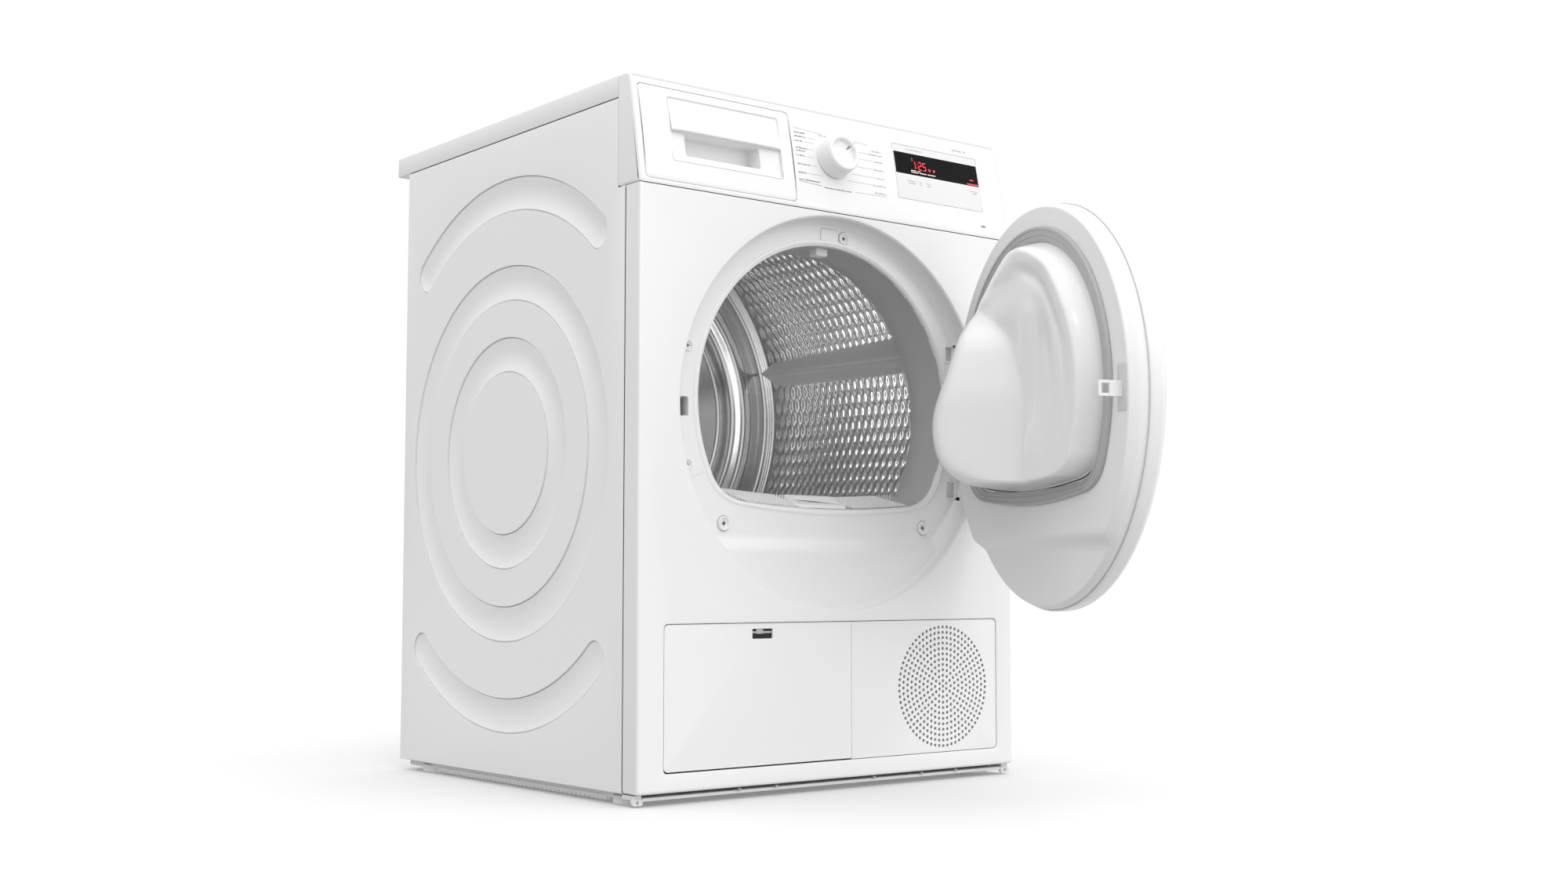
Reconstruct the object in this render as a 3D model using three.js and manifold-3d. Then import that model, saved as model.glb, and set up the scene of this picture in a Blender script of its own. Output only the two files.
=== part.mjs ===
// Free-standing front-loading clothes dryer, 598 x 842 x 599 mm, with its round door standing open.
// Millimetres, +Z up, the front faces -Y. The origin is on the floor plane, under the middle of the cabinet.
import * as THREE from "three";
import { mergeVertices } from "three/addons/utils/BufferGeometryUtils.js";
import Module from "manifold-3d";

const wasm = await Module();
wasm.setup();

// Driving dimensions
const WIDTH = 598;
const HEIGHT = 842;
const DEPTH = 599;
const HALF = WIDTH / 2;
const SHEET = 1.5; // steel sheet
const GAP = 0.3; // clearance between touching pieces
const PANEL_BOTTOM = 14;
const FASCIA_BOTTOM = 709;
const WORKTOP_BOTTOM = 815;
const WORKTOP_FRONT = 45; // depth behind the front plane where the control panel ends
const CABINET_REAR = 566; // the worktop overhangs the cabinet behind this depth

const DOOR = { x: 4, z: 459, radius: 242, front: -28, seam: -5.8, face: 17, lowFace: 5, angle: 68.7 };
const RECESS = { radius: 244, depth: 26, stepHigh: 307, stepLow: 290, stepDepth: 12 };
const MOUTH = { x: 5, z: 469.6, radius: 202, drop: 128.5 };
const HINGE = { x: 229, depth: -13.7, lugHeight: 45, pin: 3, slotNear: 37, slotFar: 89 };
const HOOK = { x: -216, z: 459 };
const DRUM = { x: 0, z: 498, radius: 286, front: 80, rear: 506, lifterAngle: 15.5 };
const FIELD = { left: -262, right: 270, bottom: 35.5, top: 204, seam: 20 }; // lower front opening
const DRAWER = { left: -290, right: -66.5, bottom: 715, top: 829 };
const DIAL = { x: 0, z: 779, depth: 10.9, tilt: 11.8 };
const DISPLAY = { left: 105, right: 256, bottom: 744, top: 817 };
const FAN = { x: 174.7, z: 119, radius: 67 };
const MOTOR = { x: 178, z: 120, shaft: 6 };
const PULLEY_RADIUS = 12;
const ROLLER = { radius: 17, x: 152, front: 84, rear: 104, axle: 4 };
const IDLER = { x: 23.5, z: 155.4, radius: 14, pivotX: 95, pivotZ: 90 };
const FOOT = { x: 276, front: 50, rear: 505, radius: 18, stem: 4 };
const FLAP_PIN = { depth: 5.8, z: 42.5, radius: 2 };

// Y of a depth measured back from the front plane
const at = (depth) => depth - DEPTH / 2;

// Turns a shape drawn in X and Y into one drawn in Y and Z, extruded along X
const SIDEWAYS = new THREE.Matrix4().makeBasis(
  new THREE.Vector3(0, 1, 0),
  new THREE.Vector3(0, 0, 1),
  new THREE.Vector3(1, 0, 0),
);

// Materials
const paint = (color, roughness, metalness = 0) => new THREE.MeshStandardMaterial({ color, roughness, metalness });
const MATERIALS = {
  white: () => paint(0xf4f4f3, 0.35),
  plastic: () => paint(0xececeb, 0.4),
  grey: () => paint(0x9a9b9b, 0.5),
  dark: () => paint(0x3a3b3c, 0.6),
  glass: () => paint(0x060607, 0.08),
  bowl: () => paint(0xe6e7e6, 0.15),
  rubber: () => paint(0x8d8e8e, 0.8),
  steel: () => paint(0xc9cbcc, 0.22, 1),
  copper: () => paint(0xb8734a, 0.35, 1),
  black: () => paint(0x1b1c1d, 0.55),
};

// Solids: three.js geometry to and from manifold-3d
function solid(geometry) {
  const bare = new THREE.BufferGeometry();
  bare.setAttribute("position", geometry.getAttribute("position"));
  if (geometry.index) bare.setIndex(geometry.index);
  const merged = mergeVertices(bare, 1e-4);
  const triVerts = new Uint32Array(merged.index.array);
  const vertProperties = new Float32Array(merged.attributes.position.array);
  const made = new wasm.Manifold(new wasm.Mesh({ numProp: 3, vertProperties, triVerts }));
  if (made.volume() > 0) return made;
  for (let i = 0; i < triVerts.length; i += 3) [triVerts[i + 1], triVerts[i + 2]] = [triVerts[i + 2], triVerts[i + 1]];
  return new wasm.Manifold(new wasm.Mesh({ numProp: 3, vertProperties, triVerts }));
}

function geometryOf(made) {
  const mesh = made.getMesh();
  const points = new Float32Array(mesh.numVert * 3);
  for (let i = 0; i < mesh.numVert; i++) points.set(mesh.vertProperties.subarray(i * mesh.numProp, i * mesh.numProp + 3), i * 3);
  const geometry = new THREE.BufferGeometry();
  geometry.setAttribute("position", new THREE.BufferAttribute(points, 3));
  geometry.setIndex(new THREE.BufferAttribute(new Uint32Array(mesh.triVerts), 1));
  geometry.computeVertexNormals();
  return geometry;
}

const join = (...solids) => solids.reduce((sum, next) => sum.add(next));

// A box from low to high corner; y values are depths behind the front plane
function box(x0, x1, depth0, depth1, z0, z1) {
  const g = new THREE.BoxGeometry(x1 - x0, depth1 - depth0, z1 - z0);
  return solid(g.translate((x0 + x1) / 2, at((depth0 + depth1) / 2), (z0 + z1) / 2));
}

// A shape drawn in X and Z, extruded from one depth to another
function alongY(shape, depth0, depth1, curveSegments = 12) {
  const g = new THREE.ExtrudeGeometry(shape, { depth: depth1 - depth0, bevelEnabled: false, curveSegments });
  return solid(g.rotateX(Math.PI / 2).translate(0, at(depth1), 0));
}

// A shape drawn in depth and Z, extruded from one X to another
function alongX(points, x0, x1) {
  const shape = new THREE.Shape(points.map(([depth, z]) => new THREE.Vector2(at(depth), z)));
  const g = new THREE.ExtrudeGeometry(shape, { depth: x1 - x0, bevelEnabled: false });
  return solid(g.applyMatrix4(SIDEWAYS).translate(x0, 0, 0));
}

// A flat polygon in X and depth, extruded upwards
function alongZ(points, z0, z1) {
  const shape = new THREE.Shape(points.map(([x, depth]) => new THREE.Vector2(x, at(depth))));
  const g = new THREE.ExtrudeGeometry(shape, { depth: z1 - z0, bevelEnabled: false });
  return solid(g.translate(0, 0, z0));
}

// A closed profile of [radius, depth] points turned round an axis along Y
function turnedY(profile, x, z, segments = 40) {
  const points = [...profile, profile[0]].map(([r, depth]) => new THREE.Vector2(r, at(depth)));
  return solid(new THREE.LatheGeometry(points, segments).translate(x, 0, z));
}

// A closed profile of [radius, z] points turned round a vertical axis
function turnedZ(profile, x, depth, segments = 24) {
  const points = [...profile, profile[0]].map(([r, z]) => new THREE.Vector2(r, z));
  return solid(new THREE.LatheGeometry(points, segments).rotateX(Math.PI / 2).translate(x, at(depth), 0));
}

function rodY(x, z, radius, depth0, depth1, segments = 24) {
  const g = new THREE.CylinderGeometry(radius, radius, depth1 - depth0, segments);
  return solid(g.translate(x, at((depth0 + depth1) / 2), z));
}

function rodZ(x, depth, radius, z0, z1, segments = 16) {
  const g = new THREE.CylinderGeometry(radius, radius, z1 - z0, segments).rotateX(Math.PI / 2);
  return solid(g.translate(x, at(depth), (z0 + z1) / 2));
}

function rodX(depth, z, radius, x0, x1, segments = 12) {
  const g = new THREE.CylinderGeometry(radius, radius, x1 - x0, segments).rotateZ(Math.PI / 2);
  return solid(g.translate((x0 + x1) / 2, at(depth), z));
}

function polygon(points) {
  return new THREE.Shape(points.map(([x, z]) => new THREE.Vector2(x, z)));
}

// The loading mouth's outline: a circle with a shallow bowed bottom and rounded lower corners
function mouthShape(grow = 0) {
  const radius = MOUTH.radius + grow;
  const low = MOUTH.z - MOUTH.drop - grow;
  const side = -0.436; // the arc ends 25 degrees below the horizontal
  const cornerX = radius * 0.62;
  const cornerZ = low + 6;
  const shape = new THREE.Shape();
  shape.absarc(MOUTH.x, MOUTH.z, radius, side, Math.PI - side, false);
  shape.quadraticCurveTo(MOUTH.x - radius * 0.84, cornerZ + 2, MOUTH.x - cornerX, cornerZ);
  shape.quadraticCurveTo(MOUTH.x, low - 6, MOUTH.x + cornerX, cornerZ);
  shape.quadraticCurveTo(MOUTH.x + radius * 0.84, cornerZ + 2, MOUTH.x + radius * Math.cos(side), MOUTH.z + radius * Math.sin(side));
  return shape;
}
const mouth = (grow, depth0, depth1) => alongY(mouthShape(grow), depth0, depth1, 9);

// Scene graph
const dryer = new THREE.Group();
const HINGE_LINE = new THREE.Vector3(HINGE.x, at(HINGE.depth), 0);
const doorTurn = new THREE.Group();
doorTurn.position.copy(HINGE_LINE);
doorTurn.rotation.z = THREE.MathUtils.degToRad(DOOR.angle);
const door = new THREE.Group(); // drawn shut; doorTurn swings it open
door.position.copy(HINGE_LINE).negate();
doorTurn.add(door);
dryer.add(doorTurn);

function place(name, made, material, parent = dryer) {
  const mesh = new THREE.Mesh(geometryOf(made), MATERIALS[material]());
  mesh.name = name;
  parent.add(mesh);
  return mesh;
}

// Base, feet and cabinet shell
function baseTray() {
  const side = 288;
  let tray = box(-side, side, 33, 556, 6, 64).subtract(box(-side + 3, side - 3, 36, 553, 10, 65));
  tray = tray.add(box(-side + 3, side - 3, 8, 34, 6, 10));
  for (const x of [-FOOT.x, FOOT.x])
    for (const depth of [FOOT.front, FOOT.rear]) {
      tray = tray.add(box(Math.max(x - 22, -side), Math.min(x + 22, side), Math.max(depth - 22, 33), depth + 22, 8, 34));
      tray = tray.subtract(box(x - 22, x + 22, depth - 22, depth + 22, 5, PANEL_BOTTOM));
      tray = tray.subtract(rodZ(x, depth, FOOT.stem + 0.5, 10, 36, 10));
    }
  return tray;
}

function foot(x, depth) {
  const r = FOOT.radius;
  return turnedZ([[0, 0], [r - 1.5, 0], [r, 2], [r, 11], [FOOT.stem, 11], [FOOT.stem, 42], [0, 42]], x, depth, 14);
}

// Pressed grooves in the side panels: two rings and two arcs round one centre
function grooveShapes(grow) {
  const centre = [at(298), 413];
  const ring = (inner, outer) => {
    const shape = new THREE.Shape();
    shape.absarc(...centre, outer + grow, 0, 2 * Math.PI, false);
    const hole = new THREE.Path();
    hole.absarc(...centre, inner - grow, 0, 2 * Math.PI, true);
    shape.holes.push(hole);
    return shape;
  };
  const arc = (middle) => {
    const spread = THREE.MathUtils.degToRad(40);
    const [inner, outer] = [305, 348.5];
    const mean = (inner + outer) / 2;
    const end = (outer - inner) / 2 + grow;
    const shape = new THREE.Shape();
    shape.absarc(...centre, outer + grow, middle - spread, middle + spread, false);
    const cap = (angle) => [centre[0] + mean * Math.cos(angle), centre[1] + mean * Math.sin(angle)];
    shape.absarc(...cap(middle + spread), end, middle + spread, middle + spread + Math.PI, false);
    shape.absarc(...centre, inner - grow, middle + spread, middle - spread, true);
    shape.absarc(...cap(middle - spread), end, middle - spread + Math.PI, middle - spread + 2 * Math.PI, false);
    return shape;
  };
  return [
    [ring(101.5, 146), 10],
    [ring(191.5, 236.5), 12],
    [arc(Math.PI / 2), 4],
    [arc(-Math.PI / 2), 4],
  ];
}

function grooves(grow, x0, x1) {
  const made = grooveShapes(grow).map(([shape, curveSegments]) => {
    const g = new THREE.ExtrudeGeometry(shape, { depth: x1 - x0, bevelEnabled: false, curveSegments });
    return solid(g.applyMatrix4(SIDEWAYS).translate(x0, 0, 0));
  });
  return join(...made);
}

function sidePanel(sign) {
  const sides = (a, b) => (sign < 0 ? [-b, -a] : [a, b]);
  const top = WORKTOP_BOTTOM - GAP;
  const pressed = 5;
  let panel = box(...sides(HALF - SHEET, HALF), 30.5, CABINET_REAR, PANEL_BOTTOM, top);
  panel = panel.add(box(...sides(HALF - 16, HALF), 30.5, 30.5 + SHEET, PANEL_BOTTOM, FASCIA_BOTTOM - 4));
  panel = panel.add(box(...sides(HALF - 16, HALF), CABINET_REAR - SHEET, CABINET_REAR, PANEL_BOTTOM, top));
  panel = panel.add(grooves(SHEET, ...sides(HALF - SHEET - pressed, HALF - 1)));
  panel = panel.subtract(grooves(0, ...sides(HALF - pressed, HALF + 5)));
  return panel.subtract(box(-HALF - 1, HALF + 1, 20, WORKTOP_FRONT, FASCIA_BOTTOM - GAP, HEIGHT));
}

function frontPanel() {
  const top = FASCIA_BOTTOM - 0.7;
  let panel = box(-HALF, HALF, 0, 28, PANEL_BOTTOM, top);
  panel = panel.subtract(box(-HALF + SHEET, HALF - SHEET, SHEET, 29, PANEL_BOTTOM + SHEET, top - SHEET));
  panel = panel.subtract(box(-HALF + 30, HALF - 30, 18, 29, PANEL_BOTTOM - 1, top + 1));
  panel = panel.subtract(rodY(DOOR.x, DOOR.z, RECESS.radius, -1, 5, 48));
  panel = panel.subtract(box(FIELD.left, FIELD.right, -1, 5, FIELD.bottom, FIELD.top));
  // two ears behind the sheet hold the flap's pins
  const leftEar = box(FIELD.left - 5, FIELD.left - 3, 1, 11, 30, 50);
  const rightEar = box(FIELD.seam + 2.5, FIELD.seam + 4.5, 1, 11, 22, 50).subtract(box(0, 40, 0, 3.8, 35, 60));
  panel = panel.add(leftEar).add(rightEar);
  return panel.subtract(rodX(FLAP_PIN.depth, FLAP_PIN.z, FLAP_PIN.radius + 0.4, FIELD.left - 6, FIELD.seam + 6));
}

function rearPanel() {
  let panel = box(-HALF + 3, HALF - 3, 560, 560 + SHEET, PANEL_BOTTOM, WORKTOP_BOTTOM - 1);
  for (let i = 0; i < 6; i++) {
    const angle = (i * Math.PI) / 3;
    panel = panel.subtract(rodY(DRUM.x + 150 * Math.cos(angle), DRUM.z + 150 * Math.sin(angle), 26, 558, 564, 8));
  }
  return panel.subtract(rodY(-250, 120, 9, 558, 564, 12));
}

function rearDuctCover() {
  const outer = [[0, 590], [150, 590], [215, 576], [233, 562]];
  const inner = [[230, 562], [213, 574], [149, 587.5], [0, 587.5]];
  return turnedY([...outer, ...inner], DRUM.x, DRUM.z, 24);
}

function powerInlet() {
  return turnedY([[5, 562], [16, 562], [16, 566], [11, 576], [5, 576]], -250, 120, 14);
}

// Control panel: one curved plastic face from side to side
const FACE = [[0, FASCIA_BOTTOM], [2, 722], [6.8, 757], [11.2, 779], [16, 804], [23.5, 836], [26, 840.5], [30, HEIGHT]];
const insideFace = FACE.map(([depth, z], i) => (i === FACE.length - 1 ? [depth + 1, z - 3] : [depth + 3, z - (i > 5 ? 2 : 0)]));

function facePlate(x0, x1, z0, z1) {
  const outer = alongX([...FACE, [60, HEIGHT], [60, FASCIA_BOTTOM]], x0, x1);
  const inner = alongX([...insideFace, [61, HEIGHT - 3], [61, FASCIA_BOTTOM]], x0 - 1, x1 + 1);
  return outer.subtract(inner).intersect(box(x0, x1, -5, 29, z0, z1));
}

function controlPanel() {
  const rear = WORKTOP_FRONT - GAP;
  const outer = alongX([...FACE, [rear, HEIGHT], [rear, FASCIA_BOTTOM]], -HALF, HALF);
  const inner = [[3.2, FASCIA_BOTTOM + 3], ...insideFace.slice(1), [rear + 2, HEIGHT - 3], [rear + 2, FASCIA_BOTTOM + 3]];
  let panel = outer.subtract(alongX(inner, -HALF + 3, HALF - 3));
  const clear = 1;
  panel = panel.subtract(box(DRAWER.left - clear, DRAWER.right + clear, -5, 32, DRAWER.bottom - clear, DRAWER.top + clear));
  panel = panel.subtract(box(DISPLAY.left, DISPLAY.right, -5, 32, DISPLAY.bottom, DISPLAY.top));
  return panel.subtract(rodY(DIAL.x, DIAL.z, 9, -5, 32));
}

function controlBoard() {
  return join(
    box(-30, 262, 37, 39, 722, 822),
    box(110, 250, 24, 37.5, 750, 811),
    box(-14, 14, 27, 37.5, 765, 793),
    box(180, 240, 38, 44, 728, 746),
  );
}

// Drawer with the condensate tank
function drawerFront() {
  const plate = facePlate(DRAWER.left, DRAWER.right, DRAWER.bottom, DRAWER.top);
  const wall = 2.5;
  const pocket = { left: -229, right: -116, bottom: 748, top: 777, back: 36 };
  const shell = box(pocket.left - wall, pocket.right + wall, 8, pocket.back + wall, pocket.bottom - wall, pocket.top + wall);
  return plate.add(shell).subtract(box(pocket.left, pocket.right, -5, pocket.back, pocket.bottom, pocket.top));
}

function tank() {
  const outer = [[-284, 722], [-209, 722], [-85, 796.4], [-85, 811], [-284, 811]];
  const inner = [[-281.5, 724.5], [-209.8, 724.5], [-87.5, 797.9], [-87.5, 808.5], [-281.5, 808.5]];
  const hollow = alongY(polygon(inner), 42, 477.5);
  const mouthHole = rodZ(-245, 445, 16, 806, 812, 20);
  return alongY(polygon(outer), 39.2, 480).subtract(hollow).subtract(mouthHole);
}

function tankHousing() {
  const outer = [[-289.5, 716], [-206.7, 716], [-79, 792.6], [-79, 813], [-289.5, 813]];
  const inner = [[-287, 718.5], [-207.3, 718.5], [-81.5, 794], [-81.5, 815], [-287, 815]];
  return alongY(polygon(outer), 46, 488).subtract(alongY(polygon(inner), 45, 485.5));
}

// Door surround: the round recess in the front, its ring round the mouth, and the step below it
function doorSurround() {
  const { radius, depth, stepHigh, stepLow, stepDepth } = RECESS;
  const back = depth + 3;
  const pocket = rodY(DOOR.x, DOOR.z, radius, 0, depth, 48);
  let ring = rodY(DOOR.x, DOOR.z, radius + 3, SHEET + GAP, back, 48).subtract(pocket);
  ring = ring.subtract(rodY(DOOR.x, DOOR.z, radius, depth - 1, back + 1, 48).intersect(box(-300, 300, 20, 35, 180, stepHigh - 2)));
  const bent = [
    [depth + 0.6, stepHigh + 0.6], [stepDepth, stepLow], [stepDepth, 200], [stepDepth + 3, 200],
    [stepDepth + 3, stepLow - 1], [back - 1.4, stepHigh - 2.7], [back - 0.8, stepHigh],
  ];
  const step = alongX(bent, -260, 260).intersect(rodY(DOOR.x, DOOR.z, radius + 1, 0, back, 48));
  ring = ring.add(step).add(mouth(5, depth - 1.4, back)).subtract(mouth(0, 0, back + 5));
  ring = ring.subtract(box(HOOK.x - 6, HOOK.x + 5, 20, 35, HOOK.z - 13, HOOK.z + 11));
  for (const sign of [-1, 1]) {
    const [near, far] = [sign * HINGE.slotNear, sign * HINGE.slotFar];
    ring = ring.subtract(box(211, 228, 20, 35, DOOR.z + Math.min(near, far), DOOR.z + Math.max(near, far)));
  }
  return ring;
}

function lugOutline() {
  const { x, depth } = HINGE;
  const round = [];
  for (let i = 0; i <= 8; i++) {
    const angle = THREE.MathUtils.degToRad(-165 + i * 22.5);
    round.push([x + 5 * Math.cos(angle), depth + 5 * Math.sin(angle)]);
  }
  return [...round, [225, 30.5], [213, 30.5], [222.5, -7]];
}

function hingeBracket() {
  let bracket = box(212, 232, 29.4, 32.4, 388, 532);
  for (const sign of [-1, 1]) {
    const z = DOOR.z + sign * HINGE.lugHeight;
    bracket = bracket.add(alongZ(lugOutline(), z - 5, z + 5));
    bracket = bracket.subtract(rodZ(HINGE.x, HINGE.depth, HINGE.pin + 0.4, z - 6, z + 6));
  }
  return bracket;
}

function doorLock() {
  const body = box(HOOK.x - 20, HOOK.x + 4.5, 29.4, 66, HOOK.z - 24, HOOK.z + 20);
  return body.subtract(box(HOOK.x - 6, HOOK.x + 5, 28, 56, HOOK.z - 13, HOOK.z + 11));
}

// Front bulkhead: the tunnel behind the mouth, the plate in front of the drum and two roller axles
function rollerPlace(sign) {
  const reach = DRUM.radius + ROLLER.radius + 0.4;
  return [DRUM.x + sign * ROLLER.x, DRUM.z - Math.sqrt(reach ** 2 - ROLLER.x ** 2)];
}

function frontBulkhead() {
  let plate = box(-291, 291, 70, 73, 205, 706).add(mouth(3, RECESS.depth + 3.4, 72));
  plate = plate.subtract(mouth(0, 20, 80));
  plate = plate.subtract(box(-152, 152, 32.5, 69, 325, 358));
  for (const sign of [-1, 1]) plate = plate.add(rodY(...rollerPlace(sign), ROLLER.axle, 72, 112, 16));
  return plate;
}

function filterDuct() {
  return box(-154, 154, 31, 69.5, 212, 334).subtract(box(-151.5, 151.5, 33.5, 67, 205, 340));
}

function lintFilter() {
  const basket = box(-147, 147, 36, 65, 222, 346).subtract(box(-144.5, 144.5, 38.5, 62.5, 225, 350));
  const bridge = box(-42, 42, 37, 64, 342, 346);
  const grip = box(-34, 34, 47, 54, 345, 357);
  return basket.add(bridge).add(grip);
}

function drumSeal() {
  return turnedY([[262, 73.4], [283, 73.4], [283, 79.5], [262, 79.5]], DRUM.x, DRUM.z, 30);
}

// Drum
function drumShell() {
  const { radius, front, rear } = DRUM;
  const profile = [[274, front], [radius, front], [radius, rear], [radius - SHEET, rear], [radius - SHEET, front + SHEET], [274, front + SHEET]];
  return turnedY(profile, DRUM.x, DRUM.z, 40);
}

function drumRearWall() {
  const r = DRUM.radius;
  const rear = DRUM.rear + GAP;
  const front = [[0, 502], [60, 503], [190, 508], [216, 520], [245, 521], [262, rear], [r, rear]];
  const back = [[r, rear + 2], [262, rear + 2], [247, 523], [214, 522], [188, 510], [12, 505], [12, 556], [0, 556]];
  return turnedY([...front, ...back], DRUM.x, DRUM.z, 24);
}

// A lifter is a ridge that is wide and tall at the front and narrow and low at the rear
function lifter(index) {
  const base = 279;
  const halfCrest = 5;
  const ends = [
    { depth: 86, low: -27, high: 26, crest: -8, height: 48 },
    { depth: 496, low: -24, high: 10, crest: -4, height: 18 },
  ];
  const corners = ends.map(({ low, high, crest, height }) => [
    [low, base], [crest - halfCrest, base - height], [crest + halfCrest, base - height], [high, base],
  ]);
  const points = [];
  ends.forEach((e, k) => corners[k].forEach(([side, reach]) => points.push(reach, at(e.depth), side)));
  const g = new THREE.BufferGeometry();
  g.setAttribute("position", new THREE.BufferAttribute(new Float32Array(points), 3));
  const faces = [0, 1, 2, 0, 2, 3, 4, 6, 5, 4, 7, 6];
  for (let i = 0; i < 4; i++) {
    const j = (i + 1) % 4;
    faces.push(i, i + 4, j, j, i + 4, j + 4);
  }
  g.setIndex(faces);
  g.rotateY(-THREE.MathUtils.degToRad(DRUM.lifterAngle + 120 * index));
  return solid(g.translate(DRUM.x, 0, DRUM.z));
}

function supportRoller(sign) {
  const { radius, front, rear, axle } = ROLLER;
  return turnedY([[axle + 0.4, front], [radius, front], [radius, rear], [axle + 0.4, rear]], ...rollerPlace(sign), 20);
}

function drumBearing() {
  return turnedY([[12.5, 540], [30, 540], [42, 552], [42, 559.6], [12.5, 559.6]], DRUM.x, DRUM.z, 18);
}

// Drive: motor, pulley, blower, belt and idler
function driveMotor() {
  const can = rodY(MOTOR.x, MOTOR.z, 54, 392, 500, 24);
  const plate = box(82, 236, 386, 392.5, 62, 172);
  const stand = box(130, 226, 400, 490, 10.4, 76);
  const shaftBore = rodY(MOTOR.x, MOTOR.z, MOTOR.shaft + 0.5, 380, 505, 16);
  const bores = shaftBore.add(rodY(IDLER.pivotX, IDLER.pivotZ, 3.5, 380, 400, 12));
  return join(can, plate, stand).subtract(bores);
}

function motorPulley() {
  const { x, z, shaft } = MOTOR;
  return rodY(x, z, shaft, 358, 536, 14).add(rodY(x, z, PULLEY_RADIUS, 363, 377, 20));
}

function blowerImpeller() {
  const { x, z, shaft } = MOTOR;
  let wheel = rodY(x, z, 60, 528, 530.5, 24).add(rodY(x, z, 14, 508, 530, 16));
  for (let i = 0; i < 10; i++) {
    const blade = new THREE.BoxGeometry(38, 20, 2).translate(40, at(518.5), 0).rotateY((i * Math.PI) / 5);
    wheel = wheel.add(solid(blade.translate(x, 0, z)));
  }
  return wheel.subtract(rodY(x, z, shaft + GAP, 500, 540, 16));
}

function blowerHousing() {
  const profile = [[38, 504], [72, 504], [72, 542], [0, 542], [0, 540], [70, 540], [70, 506], [38, 506]];
  return turnedY(profile, MOTOR.x, MOTOR.z, 24);
}

function beltShape(offset) {
  const along = Math.atan2(MOTOR.z - DRUM.z, MOTOR.x - DRUM.x);
  const reach = Math.hypot(MOTOR.x - DRUM.x, MOTOR.z - DRUM.z);
  const spread = Math.acos((DRUM.radius - PULLEY_RADIUS) / reach);
  const shape = new THREE.Shape();
  shape.absarc(DRUM.x, DRUM.z, DRUM.radius + offset, along + spread, along - spread + 2 * Math.PI, false);
  shape.absarc(MOTOR.x, MOTOR.z, PULLEY_RADIUS + offset, along - spread, along + spread, false);
  return shape;
}

function driveBelt() {
  return alongY(beltShape(3.4), 366, 374, 12).subtract(alongY(beltShape(1.7), 365, 375, 12));
}

function idlerArm() {
  const { x, z, pivotX, pivotZ } = IDLER;
  const along = Math.atan2(z - pivotZ, x - pivotX);
  const shape = new THREE.Shape();
  shape.absarc(pivotX, pivotZ, 9, along + Math.PI / 2, along + 1.5 * Math.PI, false);
  shape.absarc(x, z, 7, along - Math.PI / 2, along + Math.PI / 2, false);
  const pins = rodY(x, z, 4, 359, 379, 16).add(rodY(pivotX, pivotZ, 3, 359, 391, 16));
  return alongY(shape, 357, 360, 6).add(pins);
}

function idlerRoller() {
  return turnedY([[4.4, 363], [IDLER.radius, 363], [IDLER.radius, 377], [4.4, 377]], IDLER.x, IDLER.z, 20);
}

// Heat pump: two finned packs, the compressor, its pipe and the condensate pump
function finPack(depth0, depth1, top) {
  const [left, right, low, slots] = [-245, -25, 16, 9];
  const pitch = (right - left - 6) / slots;
  let pack = box(left, right, depth0, depth1, low, top);
  for (let i = 0; i < slots; i++) {
    const x = left + 6 + i * pitch;
    pack = pack.subtract(box(x, x + pitch - 6, depth0 - 1, depth1 + 1, low + 10, top - 10));
  }
  return pack;
}

function compressor() {
  return turnedZ([[0, 11], [70, 11], [70, 15], [56, 17], [60, 30], [60, 140], [50, 160], [26, 170], [0, 172]], 172, 212, 18);
}

function refrigerantPipe() {
  const points = [[111.5, 212, 110], [84, 212, 110], [45, 236, 118], [10, 268, 126], [-24.5, 268, 126]];
  const path = new THREE.CatmullRomCurve3(points.map(([x, depth, z]) => new THREE.Vector3(x, at(depth), z)));
  const section = new THREE.Shape();
  section.absarc(0, 0, 5, 0, 2 * Math.PI, false);
  const g = new THREE.ExtrudeGeometry(section, { steps: 10, extrudePath: path, curveSegments: 4 });
  return solid(g);
}

function condensatePump() {
  return rodZ(-110, 440, 24, 10.4, 58, 14).add(rodZ(-110, 440, 14, 57, 78, 12)).add(rodX(440, 30, 6, -112, -70));
}

// Lower front: vent grille with its fan, and the maintenance flap
function ventCover() {
  let cover = box(FIELD.seam + 0.8, FIELD.right - 0.6, GAP, 3.3, FIELD.bottom + 0.6, FIELD.top - 0.6);
  [[24, 6], [52, 12]].forEach(([ring, count]) => {
    for (let i = 0; i < count; i++) {
      const angle = (i * 2 * Math.PI) / count;
      cover = cover.subtract(rodY(FAN.x + ring * Math.cos(angle), FAN.z + ring * Math.sin(angle), 10, -1, 5, 4));
    }
  });
  return cover;
}

function coolingFan() {
  let fan = rodY(FAN.x, FAN.z, 20, 40, 60, 16).add(rodY(FAN.x, FAN.z, 4, 59, 84, 12));
  for (let i = 0; i < 7; i++) {
    const blade = new THREE.BoxGeometry(48, 2.5, 30).rotateX(0.5).translate(42, at(50), 0);
    fan = fan.add(solid(blade.rotateY((i * 2 * Math.PI) / 7).translate(FAN.x, 0, FAN.z)));
  }
  return fan;
}

function fanShroud() {
  const { x, z } = FAN;
  let shroud = turnedY([[70, 37], [73, 37], [73, 72], [70, 72]], x, z, 18).add(rodY(x, z, 22, 66, 96, 14));
  for (let i = 0; i < 3; i++) {
    const strut = new THREE.BoxGeometry(54, 4, 8).translate(46, at(69), 0).rotateY((i * 2 * Math.PI) / 3);
    shroud = shroud.add(solid(strut.translate(x, 0, z)));
  }
  shroud = shroud.add(box(x - 30, x + 30, 60, 66, 10.4, 50).subtract(rodY(x, z, 71, 50, 80, 18)));
  return shroud.subtract(rodY(x, z, 4.5, 60, 90, 12));
}

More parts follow.
